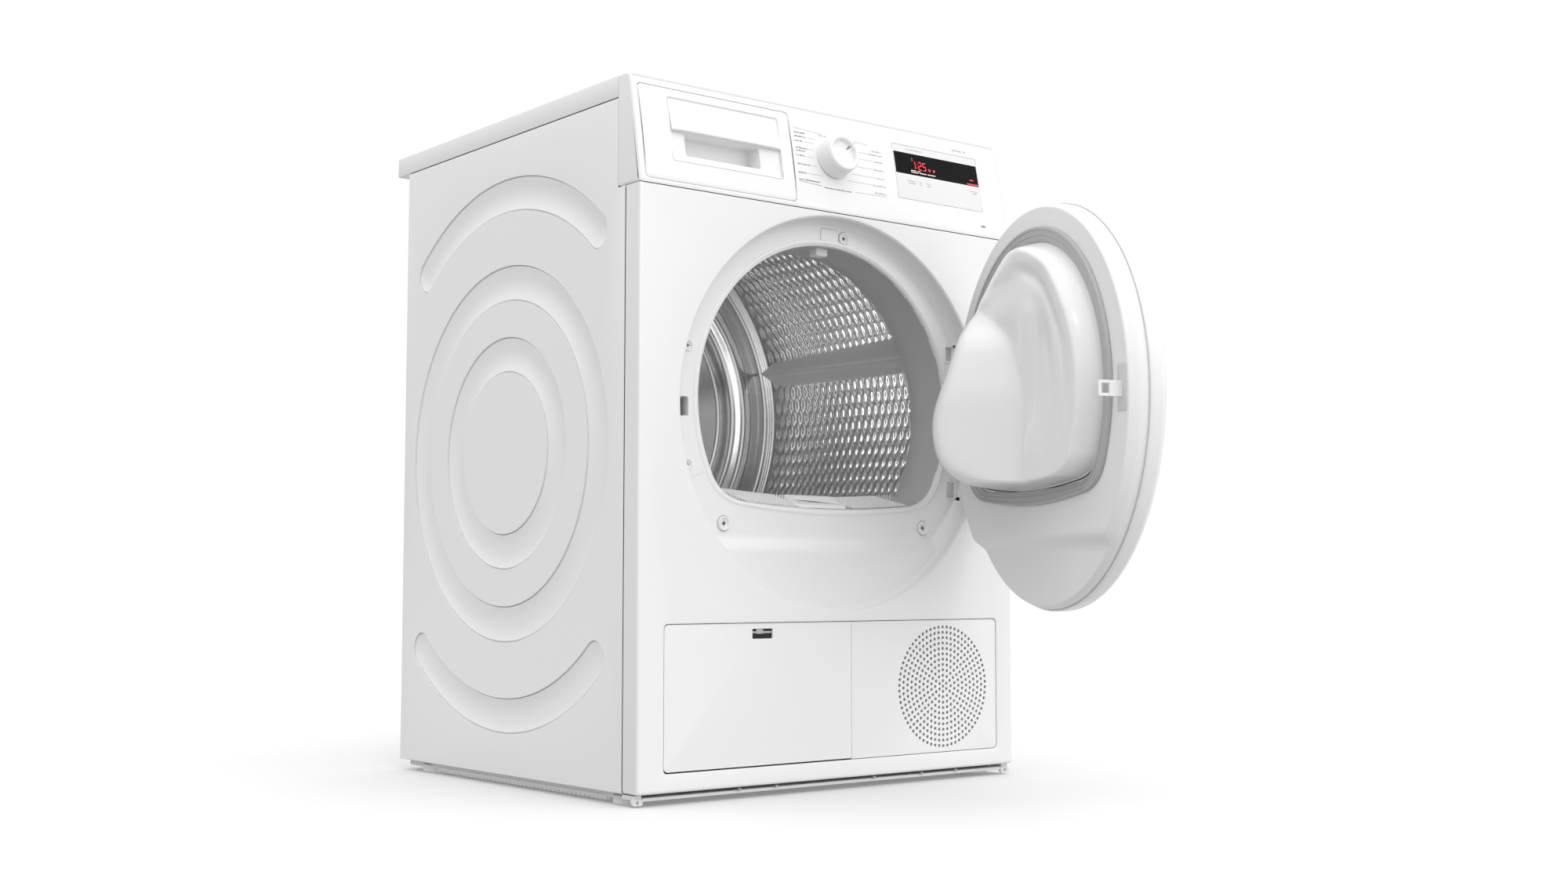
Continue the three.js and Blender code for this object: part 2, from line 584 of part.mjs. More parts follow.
function maintenanceFlap() {
  const [left, right] = [FIELD.left + 0.5, FIELD.seam - 0.3];
  let flap = box(left, right, GAP, 3.3, 37, FIELD.top - 0.6);
  flap = flap.add(box(left, right, 3, FLAP_PIN.depth + 1, FLAP_PIN.z - 2, FLAP_PIN.z + 2));
  flap = flap.add(rodX(FLAP_PIN.depth, FLAP_PIN.z, FLAP_PIN.radius, left - 4.8, right + 5.2));
  flap = flap.add(box(left + 8, right - 8, 3, 6, 70, 73)).add(box(left + 8, right - 8, 3, 6, 150, 153));
  return flap.subtract(box(-134.6, -103.4, -1, 10, 184.8, 197.1));
}

function flapLatch() {
  const finger = box(-128, -110, 0.8, 5, 191, 196.5);
  const slider = box(-138, -100, 3.7, 6.5, 180, 199).subtract(box(-131, -107, 3, 4.6, 180, 191));
  return join(finger, slider, box(-127, -111, 3.7, 6.5, 198, 203.2));
}

// Selector dial, turned about its own tilted axis
function selectorDial() {
  const far = DEPTH / 2; // at(far) is the dial's own origin
  const profile = [[0, far - 17], [15, far - 17], [17, far - 23], [20.5, far - 24], [22, far - 22], [25, far - 0.5], [6, far - 0.5], [6, far + 13], [0, far + 13]];
  const grip = turnedY(profile, 0, 0, 24);
  const pointer = new THREE.BoxGeometry(2, 6, 16).translate(0, -17, 12).rotateY(THREE.MathUtils.degToRad(50));
  return grip.subtract(solid(pointer));
}

// Door pieces, drawn shut
function doorRing() {
  const { x, z, radius, front, seam } = DOOR;
  const profile = [
    [radius, seam], [radius, front + 7], [radius - 8, front], [206.8, front - 2],
    [206.8, -16], [209, -16], [209, front + 1], [radius - 9, front + 3], [radius - 3, front + 8.5], [radius - 3, seam],
  ];
  let ring = turnedY(profile, x, z, 40);
  for (const sign of [-1, 1]) {
    const lug = z + sign * HINGE.lugHeight;
    ring = ring.subtract(box(x + 215, x + 250, -21, 0, lug - 7, lug + 7));
  }
  return ring;
}

function doorFrontCover() {
  const profile = [[0, -42], [120, -38.5], [205, -28.5], [205, -17], [202.5, -17], [202.5, -26], [119, -36], [0, -39.5]];
  return turnedY(profile, DOOR.x, DOOR.z, 32);
}

function doorInnerFrame() {
  const { x, z, seam, face, lowFace } = DOOR;
  const low = seam + GAP;
  const outer = [[0, low], [239, low], [239, face - 12], [235.5, face], [0, face]];
  const inner = [[0, low - 1], [236, low - 1], [236, face - 13], [233, face - 3], [0, face - 3]];
  let frame = turnedY(outer, x, z, 40).subtract(turnedY(inner, x, z, 40));
  const below = box(-300, 300, lowFace, 40, 180, RECESS.stepHigh - 8);
  const lowPlate = rodY(x, z, 238, lowFace - 3, lowFace, 40).intersect(box(-300, 300, -10, 40, 180, RECESS.stepHigh - 8));
  const riser = rodY(x, z, 235, lowFace - 3, face, 40).intersect(box(-300, 300, -10, 40, RECESS.stepHigh - 10, RECESS.stepHigh - 7));
  frame = frame.subtract(below).add(lowPlate).add(riser).subtract(mouth(-22, -20, 40));
  for (const sign of [-1, 1]) {
    const lug = z + sign * HINGE.lugHeight;
    frame = frame.subtract(box(208, 260, -10, 40, lug - 8, lug + 8));
  }
  return frame;
}

// The bowl that fills the mouth when the door is shut: deepest low down on the hinge side
function doorBowl() {
  const outline = mouthShape(-19.7).getSpacedPoints(32).slice(0, 32);
  const rings = [[1, 0], [0.98, 0.5], [0.9, 0.82], [0.68, 0.96], [0.35, 1]];
  const wall = 2.5;
  const base = DOOR.face + GAP;
  const tip = new THREE.Vector2(45, 428);
  const smooth = THREE.MathUtils.smoothstep;
  const depthAt = (p, share) => base + share * 132 * (0.5 + 0.5 * smooth(p.x, -150, 20)) * (1 - 0.55 * smooth(p.y, 430, 650));
  const points = [];
  const layer = (scale, share, shrink, lift) => {
    outline.forEach((p) => {
      const q = p.clone().sub(tip).multiplyScalar(scale * shrink).add(tip);
      points.push(q.x, at(share === 0 ? base : depthAt(q, share) - lift), q.y);
    });
  };
  rings.forEach(([scale, share]) => layer(scale, share, 1, 0));
  rings.forEach(([scale, share]) => layer(scale, share, 0.978, wall));
  const count = rings.length;
  points.push(tip.x, at(depthAt(tip, 1)), tip.y, tip.x, at(depthAt(tip, 1) - wall), tip.y);
  const faces = [];
  const n = outline.length;
  const band = (a, b) => {
    for (let i = 0; i < n; i++) {
      const j = (i + 1) % n;
      faces.push(a * n + i, a * n + j, b * n + i, b * n + i, a * n + j, b * n + j);
    }
  };
  for (let k = 0; k < count - 1; k++) band(k, k + 1);
  for (let k = 0; k < count - 1; k++) band(count + k + 1, count + k);
  band(count, 0);
  const apex = 2 * count * n;
  for (let i = 0; i < n; i++) {
    const j = (i + 1) % n;
    faces.push((count - 1) * n + i, (count - 1) * n + j, apex);
    faces.push((2 * count - 1) * n + j, (2 * count - 1) * n + i, apex + 1);
  }
  const g = new THREE.BufferGeometry();
  g.setAttribute("position", new THREE.BufferAttribute(new Float32Array(points), 3));
  g.setIndex(faces);
  return solid(g);
}

function doorSeal() {
  return mouth(0, DOOR.face + GAP, 24).subtract(mouth(-18, 10, 30));
}

function doorHook() {
  const bar = box(HOOK.x - 2.5, HOOK.x + 1.5, DOOR.face + GAP, 46, HOOK.z - 9, HOOK.z + 7);
  return bar.subtract(box(HOOK.x - 5, HOOK.x + 5, 35, 42, HOOK.z - 5, HOOK.z + 3));
}

function doorHinge() {
  const { x, depth, pin, lugHeight } = HINGE;
  let hinge = box(221, 229.5, -24.7, -22.4, DOOR.z - 57, DOOR.z + 57);
  for (const sign of [-1, 1]) {
    const z = DOOR.z + sign * lugHeight;
    hinge = hinge.add(box(x - 5, x + 2, -23, depth + 4, z - 12, z - 6.5));
    hinge = hinge.add(box(x - 5, x + 2, -23, depth + 4, z + 6.5, z + 12));
    hinge = hinge.add(rodZ(x, depth, pin, z - 11, z + 11));
  }
  return hinge;
}

// Assembly
place("base_tray", baseTray(), "grey");
place("side_panel_left", sidePanel(-1), "white");
place("side_panel_right", sidePanel(1), "white");
place("front_panel", frontPanel(), "white");
place("rear_panel", rearPanel(), "steel");
place("rear_duct_cover", rearDuctCover(), "steel");
place("power_inlet", powerInlet(), "black");
place("worktop", box(-HALF, HALF, WORKTOP_FRONT, DEPTH, WORKTOP_BOTTOM, HEIGHT), "white");
place("control_panel", controlPanel(), "plastic");
place("display_window", facePlate(DISPLAY.left + 0.4, DISPLAY.right - 0.4, DISPLAY.bottom + 0.4, DISPLAY.top - 0.4), "glass");
place("control_board", controlBoard(), "dark");
place("tank_housing", tankHousing(), "grey");
place("drawer_front", drawerFront(), "plastic");
place("condensate_tank", tank(), "plastic");
place("door_surround", doorSurround(), "plastic");
place("front_bulkhead", frontBulkhead(), "grey");
place("hinge_bracket", hingeBracket(), "steel");
place("door_lock", doorLock(), "dark");
place("drum_light", box(-8, 20, 36, 60, 656, 668), "plastic");
place("filter_duct", filterDuct(), "grey");
place("lint_filter", lintFilter(), "plastic");
place("drum_seal", drumSeal(), "rubber");
place("drum_shell", drumShell(), "steel");
place("drum_rear_wall", drumRearWall(), "steel");
for (let i = 0; i < 3; i++) place("drum_lifter_" + (i + 1), lifter(i), "plastic");
place("drum_bearing", drumBearing(), "steel");
place("support_roller_left", supportRoller(-1), "rubber");
place("support_roller_right", supportRoller(1), "rubber");
place("drive_motor", driveMotor(), "steel");
place("motor_pulley", motorPulley(), "steel");
place("blower_impeller", blowerImpeller(), "grey");
place("blower_housing", blowerHousing(), "grey");
place("drive_belt", driveBelt(), "black");
place("idler_arm", idlerArm(), "steel");
place("idler_roller", idlerRoller(), "black");
place("evaporator", finPack(60, 190, 200), "steel");
place("condenser", finPack(206, 350, 185), "steel");
place("compressor", compressor(), "black");
place("refrigerant_pipe", refrigerantPipe(), "copper");
place("condensate_pump", condensatePump(), "dark");
place("vent_cover", ventCover(), "plastic");
place("cooling_fan", coolingFan(), "dark");
place("fan_shroud", fanShroud(), "grey");
place("maintenance_flap", maintenanceFlap(), "plastic");
place("flap_latch", flapLatch(), "grey");
place("foot_front_left", foot(-FOOT.x, FOOT.front), "grey");
place("foot_front_right", foot(FOOT.x, FOOT.front), "grey");
place("foot_rear_left", foot(-FOOT.x, FOOT.rear), "grey");
place("foot_rear_right", foot(FOOT.x, FOOT.rear), "grey");

place("door_ring", doorRing(), "white", door);
place("door_front_cover", doorFrontCover(), "white", door);
place("door_inner_frame", doorInnerFrame(), "plastic", door);
place("door_bowl", doorBowl(), "bowl", door);
place("door_seal", doorSeal(), "rubber", door);
place("door_hook", doorHook(), "plastic", door);
place("door_hinge", doorHinge(), "steel", door);

const dial = place("selector_dial", selectorDial(), "plastic");
dial.position.set(DIAL.x, at(DIAL.depth), DIAL.z);
dial.rotation.x = -THREE.MathUtils.degToRad(DIAL.tilt);

export default dryer;
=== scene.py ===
"""Front-loading clothes dryer with its door open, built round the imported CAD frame.

Lengths in this file are millimetres: x to the right, depth back from the front plane, z up. `put` turns them
into the frame's metres. Door pieces are drawn shut and `swung` opens them to the rest angle.
"""
import math
import random

import bpy
import bmesh
import numpy as np
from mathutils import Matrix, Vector
from mathutils.geometry import delaunay_2d_cdt


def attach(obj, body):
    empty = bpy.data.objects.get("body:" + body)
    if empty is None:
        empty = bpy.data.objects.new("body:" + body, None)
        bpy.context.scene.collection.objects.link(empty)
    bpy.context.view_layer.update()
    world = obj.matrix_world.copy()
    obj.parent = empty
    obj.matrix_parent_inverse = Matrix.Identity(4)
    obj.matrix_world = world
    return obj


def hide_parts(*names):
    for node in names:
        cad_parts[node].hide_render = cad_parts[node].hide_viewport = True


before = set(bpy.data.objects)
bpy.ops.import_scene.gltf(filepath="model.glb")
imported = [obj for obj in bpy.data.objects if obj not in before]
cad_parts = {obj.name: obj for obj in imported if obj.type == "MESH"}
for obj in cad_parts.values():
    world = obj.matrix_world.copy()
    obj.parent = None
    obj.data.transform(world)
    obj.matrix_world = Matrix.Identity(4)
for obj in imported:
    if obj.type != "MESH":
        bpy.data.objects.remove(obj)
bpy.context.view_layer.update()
random.seed(7)

# ---------------------------------------------------------------- driving dimensions
HALF = 299.0
HALF_DEPTH = 299.5
HEIGHT = 842.0
PANEL_BOTTOM = 14.0
FASCIA_BOTTOM = 709.0
HINGE_X, HINGE_DEPTH, OPEN_ANGLE = 229.0, -13.7, math.radians(68.7)
DOOR_X, DOOR_Z, DOOR_R = 4.0, 459.0, 242.0
RECESS_R = 244.0
FLOOR_DEPTH = 26.0
MOUTH_X, MOUTH_Z, MOUTH_R, MOUTH_DROP = 5.0, 469.6, 202.0, 128.5
DRUM_X, DRUM_Z, DRUM_R = 0.0, 498.0, 284.4
FAN_X, FAN_Z = 174.7, 119.0
VENT_PITCH, VENT_HOLE = 6.85, 2.25
FIELD = (-262.0, 270.0, 35.5, 204.0)
SEAM_X = 20.0
TURNS = 256


def put(x, depth, z):
    return (x * 0.001, (depth - HALF_DEPTH) * 0.001, z * 0.001)


def swung(x, depth, z):
    c, s = math.cos(OPEN_ANGLE), math.sin(OPEN_ANGLE)
    dx, dd = x - HINGE_X, depth - HINGE_DEPTH
    return put(HINGE_X + c * dx - s * dd, HINGE_DEPTH + s * dx + c * dd, z)


# ---------------------------------------------------------------- materials
MATERIALS = {}


def material(name, color, rough, metal=0.0, vary=0.02, grain=60.0, bump=0.05,
             coat=0.0, sub=0.0, spec=0.5, stretch=(1, 1, 1), emit=None):
    """A Principled surface whose colour, roughness and normal are varied by noise in object space."""
    if name in MATERIALS:
        return MATERIALS[name]
    m = bpy.data.materials.new(name)
    m.use_nodes = True
    tree = m.node_tree
    nodes, links = tree.nodes, tree.links
    shader = nodes["Principled BSDF"]
    shader.inputs["Metallic"].default_value = metal
    shader.inputs["Specular IOR Level"].default_value = spec
    shader.inputs["Coat Weight"].default_value = coat
    shader.inputs["Coat Roughness"].default_value = 0.08
    shader.inputs["Subsurface Weight"].default_value = sub
    shader.inputs["Subsurface Scale"].default_value = 0.006
    where = nodes.new("ShaderNodeTexCoord")
    mapping = nodes.new("ShaderNodeMapping")
    mapping.inputs["Scale"].default_value = stretch
    links.new(where.outputs["Object"], mapping.inputs["Vector"])
    broad = nodes.new("ShaderNodeTexNoise")
    broad.inputs["Scale"].default_value = 3.0
    broad.inputs["Detail"].default_value = 4.0
    fine = nodes.new("ShaderNodeTexNoise")
    fine.inputs["Scale"].default_value = grain * 20
    fine.inputs["Detail"].default_value = 3.0
    for noise in (broad, fine):
        links.new(mapping.outputs["Vector"], noise.inputs["Vector"])
    ramp = nodes.new("ShaderNodeValToRGB")
    low = [max(0.0, c * (1 - vary)) for c in color]
    high = [min(1.0, c * (1 + vary)) for c in color]
    ramp.color_ramp.elements[0].position = 0.3
    ramp.color_ramp.elements[0].color = (*low, 1)
    ramp.color_ramp.elements[1].position = 0.7
    ramp.color_ramp.elements[1].color = (*high, 1)
    links.new(broad.outputs["Fac"], ramp.inputs["Fac"])
    links.new(ramp.outputs["Color"], shader.inputs["Base Color"])
    rough_range = nodes.new("ShaderNodeMapRange")
    rough_range.inputs["To Min"].default_value = rough * 0.85
    rough_range.inputs["To Max"].default_value = min(1.0, rough * 1.15)
    links.new(fine.outputs["Fac"], rough_range.inputs["Value"])
    links.new(rough_range.outputs["Result"], shader.inputs["Roughness"])
    if bump:
        node = nodes.new("ShaderNodeBump")
        node.inputs["Strength"].default_value = bump
        node.inputs["Distance"].default_value = 0.0004
        links.new(fine.outputs["Fac"], node.inputs["Height"])
        links.new(node.outputs["Normal"], shader.inputs["Normal"])
    if emit:
        shader.inputs["Emission Color"].default_value = (*emit[:3], 1)
        shader.inputs["Emission Strength"].default_value = emit[3]
    MATERIALS[name] = m
    return m


PAINT = material("painted_steel", (0.79, 0.79, 0.788), 0.34, vary=0.006, grain=90, bump=0.03, coat=0.15)
SIDE = material("side_paint", (0.79, 0.79, 0.788), 0.36, vary=0.006, grain=90, bump=0.03, coat=0.1)
LID = material("lid_laminate", (0.79, 0.79, 0.788), 0.4, vary=0.008, grain=110, bump=0.06)
WHITE = material("white_plastic", (0.79, 0.79, 0.788), 0.42, vary=0.006, grain=130, bump=0.05)
SURROUND = material("surround_plastic", (0.77, 0.77, 0.77), 0.38, vary=0.008, grain=120, bump=0.04)
DOORWHITE = material("door_white", (0.79, 0.79, 0.788), 0.3, vary=0.006, grain=90, bump=0.02, coat=0.25)
BOWL = material("bowl_milk", (0.79, 0.79, 0.79), 0.24, vary=0.006, grain=60, bump=0.01, coat=0.2, sub=0.1)
SEAL = material("seal_rubber", (0.43, 0.43, 0.43), 0.6, vary=0.03, grain=150, bump=0.15)
STEEL = material("drum_steel", (0.74, 0.74, 0.745), 0.2, metal=1.0, vary=0.03, grain=8, bump=0.0)
# A darker copy of the drum steel: painted shade for the rear wall deep in the drum.
REAR_STEEL_SHADED = material("rear_wall_steel_painted_shade", (0.64, 0.64, 0.645), 0.24, metal=1.0, vary=0.03, grain=8, bump=0.0)
GALV = material("galvanised", (0.62, 0.63, 0.64), 0.38, metal=1.0, vary=0.08, grain=30, bump=0.1)
TUNNEL = material("tunnel_grey", (0.46, 0.46, 0.46), 0.5, vary=0.02, grain=120, bump=0.08)
GREY = material("grey_plastic", (0.42, 0.42, 0.42), 0.5, vary=0.03, grain=120, bump=0.1)
LIFTER = material("lifter_grey", (0.78, 0.78, 0.78), 0.3, vary=0.02, grain=90, bump=0.04)
FOOTGREY = material("foot_grey", (0.62, 0.62, 0.62), 0.55, vary=0.03, grain=120, bump=0.1)
# The tray's pale plastic darkened as painted shade for its place in the gap under the machine.
TRAY_SHADED = material("tray_grey_painted_shade", (0.66, 0.66, 0.66), 0.5, vary=0.02, grain=120, bump=0.08)
FILTER = material("filter_white", (0.78, 0.78, 0.78), 0.45, vary=0.02, grain=100, bump=0.05)
GLASS = material("display_black", (0.004, 0.004, 0.005), 0.16, vary=0.1, grain=40, bump=0.0, spec=0.06)
FILM = material("display_film", (0.70, 0.70, 0.70), 0.2, vary=0.01, grain=60, bump=0.02, coat=0.3)
RED = material("lit_red", (0.5, 0.02, 0.02), 0.4, vary=0.05, bump=0.0, emit=(1.0, 0.03, 0.04, 1.6))
LITWHITE = material("lit_white", (0.75, 0.75, 0.75), 0.4, vary=0.05, bump=0.0, emit=(1, 1, 1, 0.35))
PRINT = material("print_grey", (0.16, 0.16, 0.16), 0.6, vary=0.05, grain=100, bump=0.05)
PALEPRINT = material("print_pale", (0.38, 0.38, 0.38), 0.6, vary=0.05, grain=100, bump=0.05)
# Near-black painted shade for gaps, deep slot floors, the latch well and screw recesses.
PAINTED_SHADE = material("painted_shade_black", (0.03, 0.03, 0.03), 0.8, vary=0.1, grain=80, bump=0.05)
DARK = material("dark_plastic", (0.03, 0.03, 0.032), 0.5, vary=0.1, grain=100, bump=0.1)
BLACKPAINT = material("black_paint", (0.015, 0.015, 0.017), 0.35, vary=0.1, grain=80, bump=0.08, coat=0.2)
RUBBER = material("black_rubber", (0.02, 0.02, 0.02), 0.75, vary=0.1, grain=150, bump=0.2)
FINS = material("fin_aluminium", (0.72, 0.73, 0.74), 0.35, metal=1.0, vary=0.05, grain=60, bump=0.1,
                stretch=(12, 1, 1))
COPPER = material("copper", (0.72, 0.36, 0.22), 0.3, metal=1.0, vary=0.08, grain=60, bump=0.05)
TANKWHITE = material("tank_white", (0.8, 0.8, 0.8), 0.35, vary=0.02, grain=80, bump=0.05, sub=0.1)
# Mid grey painted shade for hairline gaps round trims, screws, the lock cover, the display film and the
# handle plate.
SHADE_LINE = material("painted_shade_line", (0.40, 0.40, 0.40), 0.6, vary=0.05, grain=80, bump=0.05)
# Grey painted shade for the fascia's rounded top and right end.
EDGE_SHADE = material("painted_edge_shade", (0.56, 0.56, 0.56), 0.5, vary=0.02, grain=120, bump=0.05)
SCREW = material("screw_zinc", (0.62, 0.62, 0.62), 0.3, metal=1.0, vary=0.05, grain=80, bump=0.05)


# ---------------------------------------------------------------- mesh building
class Form:
    """Collects vertices in (x, depth, z) and faces, then becomes one Blender object."""

    def __init__(self):
        self.verts = []
        self.faces = []

    def loop(self, points):
        start = len(self.verts)
        self.verts.extend([tuple(p) for p in points])
        return list(range(start, len(self.verts)))

    def bridge(self, a, b, closed=True):
        count = len(a)
        for i in range(count if closed else count - 1):
            j = (i + 1) % count
            self.faces.append((a[i], a[j], b[j], b[i]))

    def rows(self, rows, closed=False):
        ids = [self.loop(r) for r in rows]
        for a, b in zip(ids, ids[1:]):
            self.bridge(a, b, closed)
        return ids

    def cap(self, ids):
        self.faces.append(tuple(ids))

    def keep(self, wanted):
        """Drops the faces whose middle isn't wanted; wanted takes x and z."""
        kept = []
        for f in self.faces:
            cx = sum(self.verts[i][0] for i in f) / len(f)
            cz = sum(self.verts[i][2] for i in f) / len(f)
            if wanted(cx, cz):
                kept.append(f)
        self.faces = kept

    def block(self, x0, x1, d0, d1, z0, z1):
        corners = [(x, d, z) for x in (x0, x1) for d in (d0, d1) for z in (z0, z1)]
        i = self.loop(corners)
        for f in ((0, 1, 3, 2), (4, 6, 7, 5), (0, 4, 5, 1), (2, 3, 7, 6), (0, 2, 6, 4), (1, 5, 7, 3)):
            self.faces.append(tuple(i[k] for k in f))

    def flat(self, loops, keep, lift, extra=()):
        """Fills the plane region where keep is true, bounded by the loops; lift gives (x, depth, z)."""
        points, edges = [], []
        for k, loop in enumerate(loops):
            start = len(points)
            points += [Vector(p) for p in loop]
            edges += [(start + i, start + (i + 1) % len(loop)) for i in range(len(loop))]
        for line in extra:
            start = len(points)
            points += [Vector(p) for p in line]
            edges += [(start + i, start + i + 1) for i in range(len(line) - 1)]
        verts, _, tris, *_ = delaunay_2d_cdt(points, edges, [], 0, 1e-6)
        ids = self.loop([lift(*v) for v in verts])
        for t in tris:
            cx = sum(verts[i][0] for i in t) / len(t)
            cy = sum(verts[i][1] for i in t) / len(t)
            if keep(cx, cy):
                self.faces.append(tuple(ids[i] for i in t))

    def rim(self, loop, steps, lift):
        """Strips from a flat loop: steps are (outward offset, depth change); lift(x, z, depth change)."""
        ids = None
        for out, back in steps:
            ring = self.loop([lift(x, z, back) for x, z in offset(loop, out)])
            if ids:
                self.bridge(ids, ring)
            ids = ring
        return ids

    def build(self, name, mat, body, slot=None, stands_for=(), at=put, angle=35.0, bevel=0.0,
              merge=True):
        mesh = bpy.data.meshes.new(name)
        mesh.from_pydata([at(*v) for v in self.verts], [], self.faces)
        bm = bmesh.new()
        bm.from_mesh(mesh)
        if merge:
            bmesh.ops.remove_doubles(bm, verts=bm.verts, dist=2e-6)
        loose = [v for v in bm.verts if not v.link_faces]
        bmesh.ops.delete(bm, geom=loose, context="VERTS")
        bmesh.ops.recalc_face_normals(bm, faces=bm.faces)
        bm.to_mesh(mesh)
        bm.free()
        mesh.shade_smooth()
        mesh.set_sharp_from_angle(angle=math.radians(angle))
        mesh.materials.append(mat)
        obj = bpy.data.objects.new(name, mesh)
        bpy.context.scene.collection.objects.link(obj)
        if bevel:
            mod = obj.modifiers.new("edges", "BEVEL")
            mod.width = bevel * 0.001
            mod.segments = 3
            mod.limit_method = "ANGLE"
            mod.angle_limit = math.radians(40)
            mod.harden_normals = True
        if stands_for:
            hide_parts(*stands_for)
        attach(obj, body)
        return obj


def polar(cx, cy, r, a):
    return cx + r * math.cos(a), cy + r * math.sin(a)


def circle(cx, cy, r, count):
    return [polar(cx, cy, r, 2 * math.pi * i / count) for i in range(count)]


def rounded(x0, x1, y0, y1, r, steps=6):
    """A rounded rectangle, anticlockwise."""
    points = []
    centres = ((x1 - r, y1 - r, 0), (x0 + r, y1 - r, 90), (x0 + r, y0 + r, 180), (x1 - r, y0 + r, 270))
    for cx, cy, start in centres:
        points += [polar(cx, cy, r, math.radians(start + 90 * i / steps)) for i in range(steps + 1)]
    return points


def inside(loop, x, y):
    hit = False
    n = len(loop)
    for i in range(n):
        (x0, y0), (x1, y1) = loop[i], loop[(i + 1) % n]
        if (y0 > y) != (y1 > y) and x < (x1 - x0) * (y - y0) / (y1 - y0) + x0:
            hit = not hit
    return hit


def offset(loop, out):
    """The loop moved outward by out along its averaged normals (anticlockwise loops grow)."""
    p = np.array(loop)
    ahead = np.roll(p, -1, 0) - p
    behind = p - np.roll(p, 1, 0)
    na = np.stack([ahead[:, 1], -ahead[:, 0]], 1)
    nb = np.stack([behind[:, 1], -behind[:, 0]], 1)
    na /= np.linalg.norm(na, axis=1)[:, None] + 1e-12
    nb /= np.linalg.norm(nb, axis=1)[:, None] + 1e-12
    n = na + nb
    n /= (np.linalg.norm(n, axis=1) ** 2 / 2)[:, None]
    return [tuple(q) for q in p + n * out]


def fillet(r, steps=4, back=None, sign=1.0):
    """Rim steps that round an edge by r and then run straight back."""
    made = [(sign * r * math.sin(math.pi / 2 * i / steps), r * (1 - math.cos(math.pi / 2 * i / steps)))
            for i in range(steps + 1)]
    if back is not None:
        made.append((sign * r, back))
    return made


def smooth(value, low, high):
    t = min(1.0, max(0.0, (value - low) / (high - low)))
    return t * t * (3 - 2 * t)


def lathe(form, profile, cx, cz, count=TURNS, closed=True):
    """Turns (radius, depth) points about an axis along depth."""
    rows = [[(cx + r * math.cos(2 * math.pi * i / count), d, cz + r * math.sin(2 * math.pi * i / count))
             for i in range(count)] for r, d in profile]
    ids = form.rows(rows, closed=True)
    if closed:
        form.bridge(ids[-1], ids[0])
    return ids


def arc_points(cx, cy, r, a0, a1, steps):
    return [polar(cx, cy, r, math.radians(a0 + (a1 - a0) * i / steps)) for i in range(steps + 1)]


# The loading mouth's outline, as radius by angle about the door's centre
def mouth_outline(grow):
    radius = MOUTH_R + grow
    low = MOUTH_Z - MOUTH_DROP - grow
    side = -0.436
    points = [(MOUTH_X + radius * math.cos(a), MOUTH_Z + radius * math.sin(a))
              for a in np.linspace(side, math.pi - side, 140)]

    def curve(a, b, c, count):
        t = np.linspace(0, 1, count)[1:]
        a, b, c = np.array(a), np.array(b), np.array(c)
        return [tuple((1 - k) ** 2 * a + 2 * k * (1 - k) * b + k * k * c) for k in t]
    left = (MOUTH_X - radius * 0.62, low + 6)
    right = (MOUTH_X + radius * 0.62, low + 6)
    points += curve(points[-1], (MOUTH_X - radius * 0.84, low + 8), left, 24)
    points += curve(left, (MOUTH_X, low - 6), right, 40)
    points += curve(right, (MOUTH_X + radius * 0.84, low + 8), points[0], 24)[:-1]
    return points


MOUTH_TABLE = {}


def mouth_radius(angle, grow=0.0):
    if grow not in MOUTH_TABLE:
        p = np.array(mouth_outline(grow)) - (DOOR_X, DOOR_Z)
        a = np.arctan2(p[:, 1], p[:, 0])
        order = np.argsort(a)
        MOUTH_TABLE[grow] = (a[order], np.hypot(p[:, 0], p[:, 1])[order])
    angles, radii = MOUTH_TABLE[grow]
    wrapped = (angle + math.pi) % (2 * math.pi) - math.pi
    return float(np.interp(wrapped, angles, radii, period=2 * math.pi))


def mouth_ring(grow, depth, count=TURNS, extra=0.0):
    ring = []
    for i in range(count):
        a = 2 * math.pi * i / count
        r = mouth_radius(a, grow) + extra
        d = depth(a, r) if callable(depth) else depth
        ring.append((DOOR_X + r * math.cos(a), d, DOOR_Z + r * math.sin(a)))
    return ring


# ---------------------------------------------------------------- side panels
GROOVE_CENTRE = (298.0, 413.0)
RINGS = ((101.5, 146.0), (191.5, 236.5))
ARC_IN, ARC_OUT, ARC_SPREAD = 305.0, 348.5, 40.0


def groove(t):
    """Depth of a pressed groove at t from -1 to 1 across it: a fine crease at each edge, then a hollow."""
    edge = 1 - abs(t)
    return 0.5 + 4.4 * (1 - t * t) ** 1.1 + 2.6 * math.exp(-(edge / 0.03 - 1) ** 2)


